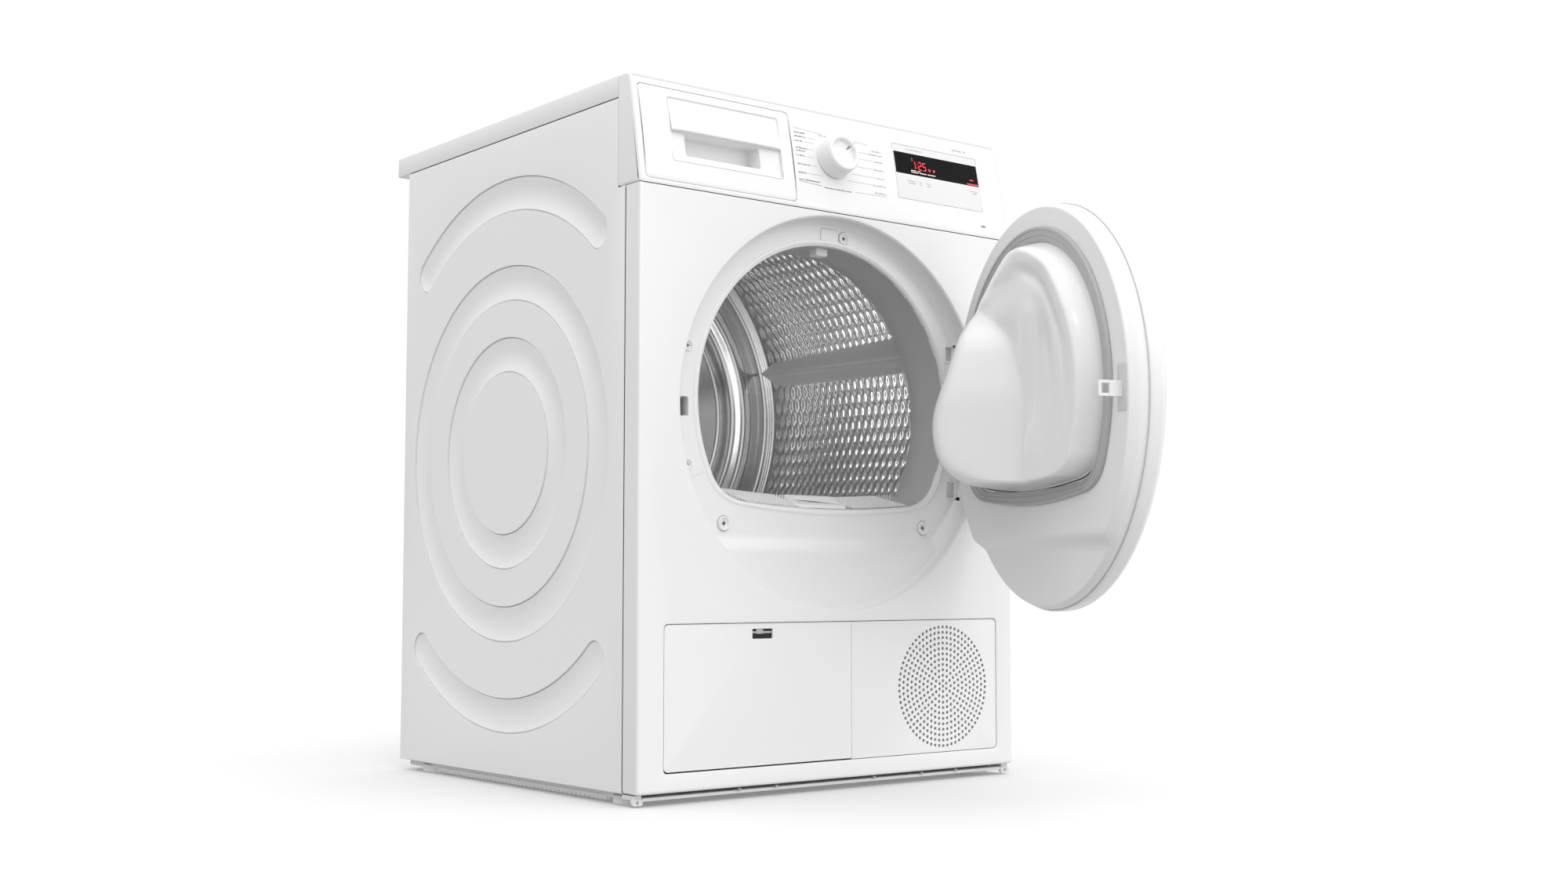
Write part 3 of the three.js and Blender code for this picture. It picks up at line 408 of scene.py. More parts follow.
def side_panel(sign, name):
    form = Form()

    def lift(depth, z, back=0.0):
        return (sign * (HALF - back), depth, z)
    outline = [(32.0, PANEL_BOTTOM + 1.5), (564.0, PANEL_BOTTOM + 1.5), (564.0, 812.6), (46.8, 812.6),
               (46.8, 706.8), (32.0, 706.8)]
    loops = [outline]
    for inner, outer in RINGS:
        for r in (inner, outer):
            loops.append(circle(*GROOVE_CENTRE, r, 200))
    stadiums = []
    mean, half = (ARC_IN + ARC_OUT) / 2, (ARC_OUT - ARC_IN) / 2
    for middle in (90.0, 270.0):
        a0, a1 = middle - ARC_SPREAD, middle + ARC_SPREAD
        cap0, cap1 = (polar(*GROOVE_CENTRE, mean, math.radians(a)) for a in (a0, a1))
        loop = arc_points(*GROOVE_CENTRE, ARC_OUT, a0, a1, 80)[:-1]
        loop += arc_points(*cap1, half, a1, a1 + 180, 18)[:-1]
        loop += arc_points(*GROOVE_CENTRE, ARC_IN, a1, a0, 80)[:-1]
        loop += arc_points(*cap0, half, a0 + 180, a0 + 360, 18)[:-1]
        stadiums.append((a0, a1, cap0, cap1))
        loops.append(loop)

    def flat_here(depth, z):
        along, up = depth - GROOVE_CENTRE[0], z - GROOVE_CENTRE[1]
        r = math.hypot(along, up)
        if any(a < r < b for a, b in RINGS):
            return False
        if not inside(outline, depth, z):
            return False
        bearing = math.degrees(math.atan2(up, along)) % 360
        for a0, a1, cap0, cap1 in stadiums:
            if a0 < bearing < a1 and ARC_IN < r < ARC_OUT:
                return False
            if min(math.dist((depth, z), cap0), math.dist((depth, z), cap1)) < half:
                return False
        return True
    form.flat(loops, flat_here, lift)
    form.rim(outline, fillet(1.5, 3, 15.0), lift)
    stations = [-1, -0.985, -0.97, -0.955, -0.935, -0.9, -0.8, -0.65, -0.45, -0.2]
    stations = stations + [0.0] + [-t for t in reversed(stations)]
    for inner, outer in RINGS:
        mid, width = (inner + outer) / 2, (outer - inner) / 2
        rows = [[lift(d, z, 0) for d, z in circle(*GROOVE_CENTRE, inner, 200)]]
        rows += [[lift(d, z, groove(t)) for d, z in circle(*GROOVE_CENTRE, mid + t * width, 200)]
                 for t in stations]
        rows += [[lift(d, z, 0) for d, z in circle(*GROOVE_CENTRE, outer, 200)]]
        form.rows(rows, closed=True)
    for a0, a1, cap0, cap1 in stadiums:
        rows = [[lift(*p, 0) for p in arc_points(*GROOVE_CENTRE, ARC_IN, a0, a1, 80)]]
        rows += [[lift(*p, groove(t)) for p in arc_points(*GROOVE_CENTRE, mean + t * half, a0, a1, 80)]
                 for t in stations]
        rows += [[lift(*p, 0) for p in arc_points(*GROOVE_CENTRE, ARC_OUT, a0, a1, 80)]]
        form.rows(rows)
        for cap, start in ((cap1, a1), (cap0, a0 + 180)):
            ends = start, start + 180, 18
            rows = [[lift(*p, groove(t)) for p in arc_points(*cap, max(t, 0.02) * half, *ends)]
                    for t in stations[10:]]
            rows += [[lift(*p, 0) for p in arc_points(*cap, half, *ends)]]
            form.rows(rows)
    node = name.replace("skin_", "side_panel_")
    form.build(name, SIDE, "cabinet", "painted_steel", (node,), angle=16)


side_panel(-1, "skin_left")
side_panel(1, "skin_right")


# ---------------------------------------------------------------- front panel
def front_panel():
    form = Form()

    def lift(x, z, back=0.0):
        return (x, back, z)
    outline = rounded(-HALF + 4, HALF - 4, PANEL_BOTTOM + 4, FASCIA_BOTTOM - 1.4, 0.6, 2)
    hole = circle(DOOR_X, DOOR_Z, RECESS_R + 3, TURNS)
    x0, x1, z0, z1 = FIELD
    field = rounded(x0 - 1.5, x1 + 1.5, z0 - 1.5, z1 + 1.5, 7, 6)

    def keep(x, z):
        if math.hypot(x - DOOR_X, z - DOOR_Z) < RECESS_R + 3:
            return False
        return not inside(field, x, z) and inside(outline, x, z)
    form.flat([outline, hole, field], keep, lift)
    corner = fillet(3.9, 6, 27.8)
    rows = [[(max(-HALF, min(HALF, x)), d, min(z, FASCIA_BOTTOM - 1.4 + 0.6 * min(1.0, d / 1.5)))
             for x, d, z in (lift(*p, back) for p in offset(outline, out))] for out, back in corner]
    form.rows(rows, closed=True)
    form.rim(hole, fillet(3.0, 5, 5.0, -1.0), lift)
    form.rim(field, fillet(1.5, 4, 4.5, -1.0), lift)
    form.build("front_skin", PAINT, "cabinet", "painted_steel", ("front_panel",), angle=28)


front_panel()


def seam_painted_shade():
    """Dark strips that sit deep in the gaps between the big sheets: painted shade standing in for the shadow
    inside the gaps.
    """
    form = Form()
    form.block(-HALF + 2.5, HALF - 2.5, 1.6, 30.0, 706.0, 711.5)
    form.block(-HALF + 1.2, HALF - 1.2, 45.5, 562.0, 811.0, 815.2)
    for side in (-1, 1):
        form.block(*sorted((side * (HALF - 0.9), side * (HALF - 3.0))), 27.0, 33.0, 16.0, 706.0)
        form.block(*sorted((side * (HALF - 0.9), side * (HALF - 3.0))), 43.0, 48.0, 707.0, 813.0)
    form.build("seam_painted_shade", PAINTED_SHADE, "cabinet", "painted_steel", merge=False)


seam_painted_shade()


# ---------------------------------------------------------------- worktop
def worktop():
    form = Form()
    outline = rounded(-HALF, HALF, 45.2, 599.0, 2.5, 5)
    rows = []
    for out, z in ((-2.0, 815.0), (-0.6, 815.6), (0.0, 817.0), (0.0, 838.0), (-0.8, 840.8), (-3.0, HEIGHT)):
        ring = offset(outline, out) if out else outline
        rows.append([(x, d, z) for x, d in ring])
    middle = rounded(-HALF + 8.0, HALF - 8.0, 53.2, 591.0, 1.0, 5)
    rows.append([(x, d, HEIGHT) for x, d in middle])
    ids = form.rows(rows, closed=True)
    form.cap(ids[0][::-1])
    form.cap(ids[-1])
    form.build("lid", LID, "cabinet", "white_lid", ("worktop",), angle=40)


worktop()


# ---------------------------------------------------------------- control panel
# The fascia's face leans back towards the top: depth against height
FACE_D = [0.0, 0.6, 2.0, 3.9, 6.8, 9.5, 12.3, 16.0, 18.8, 21.2, 22.8]
FACE_Z = [709.0, 712.0, 722.0, 737.0, 757.0, 773.0, 786.0, 804.0, 819.0, 831.0, 837.0]


FACE_FIT = np.polyfit(FACE_Z, FACE_D, 3)


def face_at(z):
    return float(np.polyval(FACE_FIT, z))


DRAWER = (-290.0, -66.5, 715.0, 829.0)
FILM_BOX = (105.0, 256.0, 744.0, 817.0)
FRAME_BOX = (-249.0, -85.0, 741.0, 818.0)


def fascia():
    form = Form()
    low, high = 711.0, 834.0
    edge = 3.5

    def lift(x, z, back=0.0):
        return (x, face_at(z) + back, z)
    outline = [(-HALF + edge, low), (HALF - edge, low), (HALF - edge, high), (-HALF + edge, high)]
    drawer = rounded(DRAWER[0] - 1.1, DRAWER[1] + 1.1, DRAWER[2] - 1.1, DRAWER[3] + 1.1, 6, 6)
    film = rounded(FILM_BOX[0] - 0.3, FILM_BOX[1] + 0.3, FILM_BOX[2] - 0.3, FILM_BOX[3] + 0.3, 1.0, 3)
    lines = [[(-HALF + edge, z), (HALF - edge, z)] for z in np.linspace(low, high, 26)[1:-1]]

    def keep(x, z):
        return not inside(drawer, x, z) and not inside(film, x, z)
    form.flat([outline, drawer, film], keep, lift, lines)
    form.rim(drawer, [(0, 0), (-0.5, 0.15), (-0.7, 0.7), (-0.7, 9.0)], lift)
    form.rim(film, [(0, 0), (-0.2, 0.5), (-0.2, 3.0)], lift)
    # the profile from the bottom edge, up the face, over the rounded top edge and back to the lid
    profile = [(44.6, 708.9), (4.0, 708.9), (1.0, 709.2), (face_at(711.0), 711.0)]
    profile += [(face_at(z), z) for z in np.linspace(low, high, 26)[1:]]
    top = face_at(high)
    profile += [(top + 0.9, 836.9), (top + 2.2, 839.3), (top + 4.2, 841.2)]
    profile += [(top + 7.0, 842.0), (44.6, 842.0)]
    # strips below and above the flat part
    for strip in (profile[:4], profile[-6:]):
        form.rows([[(x, d, z) for d, z in strip] for x in (-HALF + edge, HALF - edge)])
    # rounded ends
    p = np.array(profile)
    tangent = np.gradient(p, axis=0)
    normal = np.stack([tangent[:, 1], -tangent[:, 0]], 1)
    normal /= np.linalg.norm(normal, axis=1)[:, None]
    for side in (-1, 1):
        rows = []
        for i in range(7):
            a = math.pi / 2 * i / 6
            shrink = edge * (1 - math.cos(a))
            q = p + normal * shrink
            q[:, 0] = np.clip(q[:, 0], 0, 44.6)
            rows.append([(side * (HALF - edge + edge * math.sin(a)), d, z) for d, z in q])
        ids = form.rows(rows)
        form.cap(ids[-1])
    form.build("fascia", WHITE, "cabinet", "white_plastic", ("control_panel",), angle=32)


fascia()


def fascia_edge():
    """A strip along the fascia's rounded top and right end, a shade darker than the face: painted shade on
    the edge.
    """
    form = Form()
    edge = 3.5
    top = face_at(834.0)
    line = [(top + 0.8, 837.0), (top + 2.1, 839.4), (top + 3.4, 840.6)]
    form.rows([[(x, d, z) for d, z in line] for x in (-HALF + edge, HALF - edge)])
    columns = [(HALF - edge + edge * math.sin(a), edge * (1 - math.cos(a)) - 0.1) for a in (0.6, 0.9, 1.2)]
    form.rows([[(x, face_at(z) + back, z) for x, back in columns] for z in np.linspace(712.0, 834.0, 24)])
    form.build("fascia_edge", EDGE_SHADE, "cabinet", "white_plastic", merge=False)


fascia_edge()


def drawer():
    form = Form()

    def lift(x, z, back=0.0):
        return (x, face_at(z) + 0.1 + back, z)
    outline = rounded(DRAWER[0] + 1.0, DRAWER[1] - 1.0, DRAWER[2] + 1.0, DRAWER[3] - 1.0, 5, 6)
    x0, x1, z0, z1 = FRAME_BOX
    hole = rounded(x0, x1, z0, z1, 2.5, 4)
    heights = np.linspace(DRAWER[2], DRAWER[3], 24)[1:-1]
    lines = [[(DRAWER[0] + 1.0, z), (DRAWER[1] - 1.0, z)] for z in heights]
    form.flat([outline, hole], lambda x, z: inside(outline, x, z) and not inside(hole, x, z), lift, lines)
    form.rim(outline, [(0, 0), (0.7, 0.3), (1.0, 1.0), (1.0, 8.0)], lift)
    # handle plate: the upper half swells forward to a lip, the lower half is sunk round the grip pocket
    lip_z = 779.0
    px0, px1, pz0, pz1 = -229.0, -116.0, 748.0, 777.0
    form.rim(hole, [(0, 0), (-0.35, 0.45), (-0.7, 0.9)], lift)
    columns = [x0 + 0.6, *np.linspace(x0 + 0.7, x1 - 0.7, 60), x1 - 0.6]
    closed_end = {columns[0]: 0.0, columns[-1]: 0.0}
    rows = []
    for k in range(16):
        t = k / 15
        z = z1 - 0.7 - (z1 - 0.7 - lip_z) * t
        row = []
        for x in columns:
            ends = smooth(x, x0, x0 + 14) * (1 - smooth(x, x1 - 14, x1))
            out = closed_end.get(x, 5.5) * t ** 1.6 * (0.55 + 0.45 * ends)
            row.append((x, face_at(z) + 1.0 - out, z))
        rows.append(row)
    for dz, frac in ((-0.9, 0.93), (-1.5, 0.75), (-1.8, 0.4), (-1.9, -0.15), (-1.9, -0.6)):
        row = []
        for x in columns:
            ends = smooth(x, x0, x0 + 14) * (1 - smooth(x, x1 - 14, x1))
            out = closed_end.get(x, 5.5) * (0.55 + 0.45 * ends) * frac
            row.append((x, face_at(lip_z) + 1.0 - out, lip_z + dz))
        rows.append(row)
    form.rows(rows)
    sunk = 2.6
    low_out = rounded(x0 + 0.7, x1 - 0.7, z0 + 0.7, lip_z - 1.0, 2.0, 4)
    pocket = rounded(px0, px1, pz0, pz1, 3.0, 5)
    lines = [[(x0, z), (x1, z)] for z in np.linspace(z0, lip_z, 8)[1:-1]]
    form.flat([low_out, pocket], lambda x, z: inside(low_out, x, z) and not inside(pocket, x, z),
              lambda x, z: lift(x, z, sunk), lines)
    form.rim(low_out, [(0, 0), (0, 0.01 - sunk + 0.9)], lambda x, z, b=0.0: lift(x, z, sunk + b))
    pocket_rim = form.rim(pocket, [(0, 0), (-0.8, 0.4), (-1.2, 1.2)],
                          lambda x, z, b=0.0: lift(x, z, sunk + b))
    deep = [(x, 34.0, z) for x, z in offset(pocket, -2.4)]
    back = form.loop(deep)
    form.bridge(pocket_rim, back)
    form.cap(back)
    form.build("drawer_face", WHITE, "drawer", "white_plastic", ("drawer_front",), angle=30)


drawer()


# ---------------------------------------------------------------- printing on the fascia: marks only
def print_bar(form, x0, x1, z0, z1):
    """A thin printed bar on the leaning face."""
    form.rows([[(x, face_at(z) - 0.14, z) for x in (x0, x1)] for z in (z0, z1)])


def print_line(form, xa, za, xb, zb, width=0.5):
    length = math.hypot(xb - xa, zb - za)
    nx, nz = -(zb - za) / length * width / 2, (xb - xa) / length * width / 2
    rows = []
    for x, z in ((xa, za), (xb, zb)):
        rows.append([(x + nx, face_at(z + nz) - 0.14, z + nz), (x - nx, face_at(z - nz) - 0.14, z - nz)])
    form.rows(rows)


def caption_marks(form, x, z, length, tall=1.9, anchor=0.0):
    """A row of short strokes that stands in for a caption without spelling anything."""
    x -= anchor * length
    end = x + length
    while x < end - 0.9:
        wide = random.choice((0.75, 0.95, 1.15))
        high = random.choice((0.68, 0.68, 1.0))
        print_bar(form, x, x + wide, z, z + tall * high)
        if random.random() < 0.5:
            print_bar(form, x + wide, x + wide + 0.35, z, z + 0.35)
        x += wide + (0.45 if random.random() < 0.82 else 1.4)


DIAL_X, DIAL_Z = 0.0, 779.0


def fascia_print():
    dark, pale = Form(), Form()
    left = [(809, 17, -60), (804, 20, -60), (798, 13, -60), (789, 19, -60), (779, 14, -60), (768, 21, -60),
            (757, 14, -60), (748, 33, -60)]
    for k, (z, length, x) in enumerate(left):
        caption_marks(dark, x, z - 4, length)
    caption_marks(dark, -60, 781.4, 15)
    right = [(803, 17, 84), (798, 24, 84), (789, 15, 84), (778, 17, 84), (767, 14, 84), (757, 22, 84),
             (747, 20, 84)]
    for z, length, x in right:
        caption_marks(pale, x, z - 4, length, anchor=1.0)
    caption_marks(pale, -20, 806.5, 13)
    caption_marks(dark, -20, 738.5, 45)
    # leader lines run level from the captions to the ring round the dial
    for z, length, x in left[1:7]:
        near = -math.sqrt(max(0.0, 33.0 ** 2 - (z - 4 - DIAL_Z) ** 2))
        print_line(pale, x + length + 1.5, z - 3, min(near, -19.0), z - 3.4, 0.45)
    for z, length, x in right[1:6]:
        near = math.sqrt(max(0.0, 33.0 ** 2 - (z - 4 - DIAL_Z) ** 2))
        print_line(pale, x - length - 1.5, z - 3, max(near, 19.0), z - 3.4, 0.45)
    print_line(pale, -60, 812, -14, 809, 0.5)
    print_line(pale, 4, 809, 62, 807, 0.5)
    print_line(dark, -60, 742.5, -24, 740.5, 0.5)
    print_line(pale, 30, 740, 84, 741, 0.5)
    # small marks over and under the display
    caption_marks(pale, 214, 823, 18, 2.6)
    caption_marks(dark, 236, 823, 3.4, 3.2)
    caption_marks(dark, 250, 722, 9, 3.0)
    for x, w in ((125, 15), (144, 7), (158, 9)):
        caption_marks(pale, x, 768.5, w, 1.5)
        caption_marks(pale, x + 1, 765.3, w - 2, 1.5)
    caption_marks(pale, 238, 769.5, 14, 1.5)
    caption_marks(pale, 241, 766.3, 9, 1.5)
    caption_marks(pale, 128, 811.5, 30, 1.5)
    dark.build("print_dark", PRINT, "cabinet", "white_plastic", merge=False)
    pale.build("print_pale", PALEPRINT, "cabinet", "white_plastic", merge=False)


fascia_print()


def display():
    form = Form()
    x0, x1, z0, z1 = FILM_BOX

    def plate(form, a, b, c, d, r, out):
        loop = rounded(a, b, c, d, r, 4)
        lines = [[(a, z), (b, z)] for z in np.linspace(c, d, 10)[1:-1]]

        def lift(x, z, back=0.0):
            return (x, face_at(z) - out + back, z)
        form.flat([loop], lambda x, z: inside(loop, x, z), lift, lines)
        form.rim(loop, [(0, 0), (0.15, 0.15), (0.15, 2.0)], lift)
    plate(form, x0, x1, z0, z1, 1.5, 0.05)
    form.build("display_film", FILM, "cabinet", "display_black")
    form = Form()
    plate(form, x0 + 1.2, x1 - 1.0, 778.0, 807.0, 0.8, 0.16)
    form.build("display_glass", GLASS, "cabinet", "display_black", ("display_window",))
    lit = Form()

    def bar(form, xa, xb, za, zb):
        form.rows([[(x, face_at(z) - 0.2, z) for x in (xa, xb)] for z in (za, zb)])

    def digit(x, z, on, w=4.8, h=11.0):
        t = 0.9
        segments = {"a": (x, x + w, z + h - t, z + h), "g": (x, x + w, z + h / 2 - t / 2, z + h / 2 + t / 2),
                    "d": (x, x + w, z, z + t), "f": (x - 0.3, x - 0.3 + t, z + h / 2 + 0.5, z + h - 0.5),
                    "b": (x + w - t + 0.3, x + w + 0.3, z + h / 2 + 0.5, z + h - 0.5),
                    "e": (x - 0.3, x - 0.3 + t, z + 0.5, z + h / 2 - 0.5),
                    "c": (x + w - t + 0.3, x + w + 0.3, z + 0.5, z + h / 2 - 0.5)}
        for key in on:
            bar(lit, *segments[key])
    digit(137.0, 786.2, "bc")
    bar(lit, 144.6, 145.5, 788.6, 789.6)
    bar(lit, 144.6, 145.5, 793.0, 794.0)
    digit(147.6, 786.2, "abged")
    digit(155.4, 786.2, "afgcd")
    for x in (166.5, 174.5):
        rings = [circle(x, 788.3, r, 16) for r in (1.7, 0.8)]
        lit.rows([[(a, face_at(b) - 0.2, b) for a, b in ring] for ring in rings], closed=True)
    bar(lit, 136.0, 138.2, 799.5, 800.5)
    bar(lit, 136.6, 138.2, 797.4, 798.3)
    bar(lit, 233.5, 253.5, 779.2, 780.6)
    bar(lit, 239.5, 246.5, 785.2, 786.2)
    lit.build("display_lit_red", RED, "cabinet", "display_black", merge=False)
    white = Form()
    for xa, xb in ((133.0, 146.0), (148.0, 160.0), (162.0, 176.0)):
        bar(white, xa, xb, 781.4, 782.3)
    for xa, xb in ((133.0, 142.0), (144.5, 150.0)):
        bar(white, xa, xb, 783.6, 784.4)
    bar(white, 106.5, 180.0, 775.6, 776.3)
    white.build("display_lit_white", LITWHITE, "cabinet", "display_black", merge=False)


display()


# ---------------------------------------------------------------- selector dial
def dial():
    form = Form()
    tilt = math.radians(11.8)
    cx, cd, cz = DIAL_X, 10.9, DIAL_Z

    def lift(x, out, z):
        # out is the height above the face along its normal
        return (cx + x, cd - out * math.cos(tilt) + z * math.sin(tilt),
                cz + z * math.cos(tilt) + out * math.sin(tilt))
    rim = [(26.0, 0.3), (25.6, 0.8), (25.3, 3.0), (24.6, 14.0), (24.0, 19.5), (23.4, 21.8), (22.2, 23.2)]
    dish = [(20.8, 23.6), (19.4, 23.2), (18.3, 22.0), (17.6, 20.0), (17.0, 18.6), (15.5, 17.8), (12.0, 17.3),
            (6.0, 17.0)]
    profile = rim + dish
    count = 96
    rows = [[lift(r * math.cos(2 * math.pi * i / count), out, r * math.sin(2 * math.pi * i / count))
             for i in range(count)] for r, out in profile]
    ids = form.rows(rows, closed=True)
    form.cap(ids[-1])
    form.build("dial_knob", WHITE, "dial", "white_plastic", ("selector_dial",), angle=40)
    mark = Form()
    a = math.radians(40)
    for r0, r1, h0, h1 in ((11.5, 17.2, 17.5, 19.0), (17.2, 21.8, 19.2, 23.75)):
        rows = []
        for r, h in ((r0, h0), (r1, h1)):
            row = []
            for w in (-0.8, 0.8):
                x = r * math.cos(a) - w * math.sin(a)
                z = r * math.sin(a) + w * math.cos(a)
                row.append(lift(x, h + 0.25, z))
            rows.append(row)
        mark.rows(rows)
    mark.build("dial_pointer", PRINT, "dial", "white_plastic", merge=False)


dial()


# ---------------------------------------------------------------- door surround, lip and tunnel
def recess_floor(x, z):
    """Depth of the surround's face: it comes forward below a soft step."""
    rise = max(0.0, x - 176.0) * 1.15
    return FLOOR_DEPTH - 11.5 * (1 - smooth(z, 288.0 + rise, 308.0 + rise))


SLOTS = ((-225.5, -210.0, 444.0, 470.0), (204.0, 221.0, 540.0, 562.0), (204.0, 224.0, 360.0, 384.0))


def surround():
    form = Form()
    count = 320

    def at_angle(i, r):
        return polar(DOOR_X, DOOR_Z, r, 2 * math.pi * i / count)
    rows = [[(at_angle(i, 246.5)[0], 2.0, at_angle(i, 246.5)[1]) for i in range(count)]]
    wall = 7.0
    for k in range(10):
        b = math.pi / 2 * k / 9
        row = []
        for i in range(count):
            r = RECESS_R - 0.3 - wall * (1 - math.cos(b))
            x, z = at_angle(i, r)
            floor = recess_floor(x, z)
            row.append((x, 2.6 + (floor - 2.6) * math.sin(b), z))
        rows.append(row)
    steps = 34
    start = RECESS_R - 0.3 - wall
    for k in range(1, steps + 1):
        row = []
        for i in range(count):
            a = 2 * math.pi * i / count
            end = mouth_radius(a) + 7.5
            r = start + (end - start) * k / steps
            x, z = at_angle(i, r)
            row.append((x, recess_floor(x, z), z))
        rows.append(row)
    for extra, out in ((7.0, 0.5), (6.2, 1.1), (5.2, 1.35), (3.6, 1.4), (2.6, 1.2), (1.6, 0.5), (1.3, -0.2),
                       (0.9, -0.2), (0.2, 0.3), (-0.6, -0.6), (-1.0, -2.2), (-1.0, -5.0)):
        row = []
        for i in range(count):
            a = 2 * math.pi * i / count
            r = mouth_radius(a) + extra
            x, z = at_angle(i, r)
            row.append((x, FLOOR_DEPTH - out, z))
        rows.append(row)
    form.rows(rows, closed=True)
    form.keep(lambda x, z: not any(x0 < x < x1 and z0 < z < z1 for x0, x1, z0, z1 in SLOTS))
    form.build("surround_face", SURROUND, "cabinet", "white_plastic", ("door_surround",), angle=40)


surround()


def slot_liner(name, box, depth, back, mat, floor_mat):
    """A moulded frame round a slot, with its walls running back and a dark floor."""
    form = Form()
    x0, x1, z0, z1 = box
    loop = rounded(x0 + 1.5, x1 - 1.5, z0 + 1.5, z1 - 1.5, 2.0, 4)
    steps = [(2.6, 0.0), (2.2, -0.55), (1.2, -0.8), (0.2, -0.6), (-0.2, 0.2), (-0.4, back)]
    form.rim(loop, steps, lambda x, z, b=0.0: (x, depth + 0.05 + b, z))
    form.build(name, mat, "cabinet", "white_plastic")
    floor = Form()
    floor.cap(floor.loop([(x, depth + back, z) for x, z in offset(loop, -0.3)]))
    floor.build(name + "_floor", floor_mat, "cabinet", "white_plastic")


# The lock slot's near-black floor is painted shade at the bottom of the deep slot.
slot_liner("lock_slot", SLOTS[0], 25.8, 22.0, SURROUND, PAINTED_SHADE)
slot_liner("hinge_slot_high", SLOTS[1], 25.8, 3.2, SURROUND, GALV)
slot_liner("hinge_slot_low", SLOTS[2], 25.8, 3.2, SURROUND, GALV)


def tunnel():
    form = Form()
    profile = [(-1.0, 31.0), (-1.0, 40.0), (-2.0, 70.0), (-3.0, 90.5), (-2.2, 92.2), (-0.6, 92.8),
               (1.2, 92.2), (2.0, 90.5), (2.4, 76.0), (66.0, 75.4)]
    form.rows([mouth_ring(g, d) for g, d in profile], closed=True)
    form.build("loading_tunnel", TUNNEL, "cabinet", "grey_plastic", angle=40)


tunnel()


def screw(name, x, depth, z, r=4.4):
    """A cross-head screw sunk in a moulded cup with a raised rim."""
    cup = Form()
    profile = [(r + 4.3, 0.4), (r + 4.2, -1.6), (r + 3.6, -2.3), (r + 2.6, -2.2), (r + 1.6, -0.8),
               (r + 0.5, 1.9), (r + 0.2, 2.6), (0.01, 2.6)]
    lathe(cup, [(p, depth + d) for p, d in profile], x, z, 40, closed=False)
    cup.build(name + "_cup", SURROUND, "cabinet", "white_plastic")
    head = Form()
    profile = [(r, 2.4), (r, 1.4), (r * 0.93, 0.6), (r * 0.7, 0.1), (r * 0.42, -0.1), (r * 0.3, 0.5),
               (0.01, 1.2)]
    lathe(head, [(p, depth + d) for p, d in profile], x, z, 24, closed=False)
    head.build(name + "_head", SCREW, "cabinet", "galvanised_steel")
    # The cross recess is not cut: near-black blocks on the head are painted shade standing in for it.
    cross = Form()
    for x0, x1, z0, z1 in ((-2.6, 2.6, -0.55, 0.55), (-0.55, 0.55, -2.6, 2.6)):
        cross.block(x + x0, x + x1, depth - 0.2, depth + 0.3, z + z0, z + z1)
    cross.build(name + "_cross", PAINTED_SHADE, "cabinet", "galvanised_steel", merge=False)


screw("screw_top", 29.3, 25.8, 683.7, 3.6)
screw("screw_low_left", -159.0, 25.8, 321.0)
screw("screw_low_right", 163.0, 25.8, 321.0)
screw("screw_lock_high", -212.5, 25.4, 529.0, 2.6)
screw("screw_lock_low", -212.5, 25.4, 389.0, 2.6)


def surround_trims():
    form = Form()
    loop = rounded(-7.5, 19.4, 675.5, 692.5, 3.0, 5)
    form.flat([loop], lambda x, z: inside(loop, x, z), lambda x, z: (x, 25.2, z))
    form.rim(loop, [(0, 0), (0.5, 0.15), (0.7, 0.9)], lambda x, z, b=0.0: (x, 25.2 + b, z))
    form.build("top_cap", SURROUND, "cabinet", "white_plastic")
    # the lock cover: a thin plate along the recess's left side
    form = Form()
    inner, outer = [], []
    for i in range(41):
        a = math.radians(180 - 21 + 42 * i / 40 + 1)
        r_in = mouth_radius(a) + 11.0
        outer.append((DOOR_X + 229.0 * math.cos(a), DOOR_Z + 229.0 * math.sin(a)))
        inner.append((DOOR_X + r_in * math.cos(a), DOOR_Z + r_in * math.sin(a)))
    loop = outer + inner[::-1]
    hole = rounded(SLOTS[0][0] + 0.5, SLOTS[0][1] - 0.5, SLOTS[0][2] + 0.5, SLOTS[0][3] - 0.5, 2, 4)

    def lift(x, z, back=0.0):
        return (x, 25.3 + back, z)
    form.flat([loop, hole], lambda x, z: inside(loop, x, z) and not inside(hole, x, z), lift)
    form.rim(loop, [(0, 0), (0.35, 0.12), (0.5, 0.9)], lift)
    form.build("lock_cover", SURROUND, "cabinet", "white_plastic")
    # a hairline of painted shade round the lock cover, for the gap at its edge
    edge = Form()
    edge.rows([[(x, 25.8, z) for x, z in offset(loop, out)] for out in (-1.2, -2.2)], closed=True)
    edge.build("lock_cover_shade_line", SHADE_LINE, "cabinet", "white_plastic", merge=False)
    # spray nozzle block over the drum
    form = Form()
    form.block(-3, 16, 40, 56, 661, 672)
    form.build("lamp_block", FILTER, "cabinet", "white_plastic", ("drum_light",), bevel=2.5)


surround_trims()


def painted_shade_line(form, loop, width, lift):
    """A hairline of painted shade standing in for the shadow in a narrow gap, drawn as a narrow strip just
    proud of the face.
    """
    form.rows([[lift(x, z) for x, z in offset(loop, out)] for out in (0.3, 0.3 + width)], closed=True)


def outlines():
    form = Form()
    flat = lambda x, z: (x, 25.85, z)
    painted_shade_line(form, rounded(-7.5, 19.4, 675.5, 692.5, 3.0, 5), 0.9, flat)
    for x, z, r in ((29.3, 683.7, 3.6), (-159.0, 321.0, 4.4), (163.0, 321.0, 4.4)):
        painted_shade_line(form, circle(x, z, r + 4.3, 40), 0.8, flat)
    form.build("recess_shade_lines", SHADE_LINE, "cabinet", "white_plastic", merge=False)
    face = Form()
    on_face = lambda x, z: (x, face_at(z) - 0.12, z)
    x0, x1, z0, z1 = FILM_BOX
    loop = offset(rounded(x0, x1, z0, z1, 1.5, 4), -0.1)
    painted_shade_line(face, loop, 0.6, on_face)
    face.build("film_shade_line", SHADE_LINE, "cabinet", "display_black", merge=False)
    plate = Form()
    x0, x1, z0, z1 = FRAME_BOX
    painted_shade_line(plate, rounded(x0, x1, z0, z1, 2.5, 4), 0.5, on_face)
    plate.build("handle_shade_line", SHADE_LINE, "drawer", "white_plastic", merge=False)


outlines()


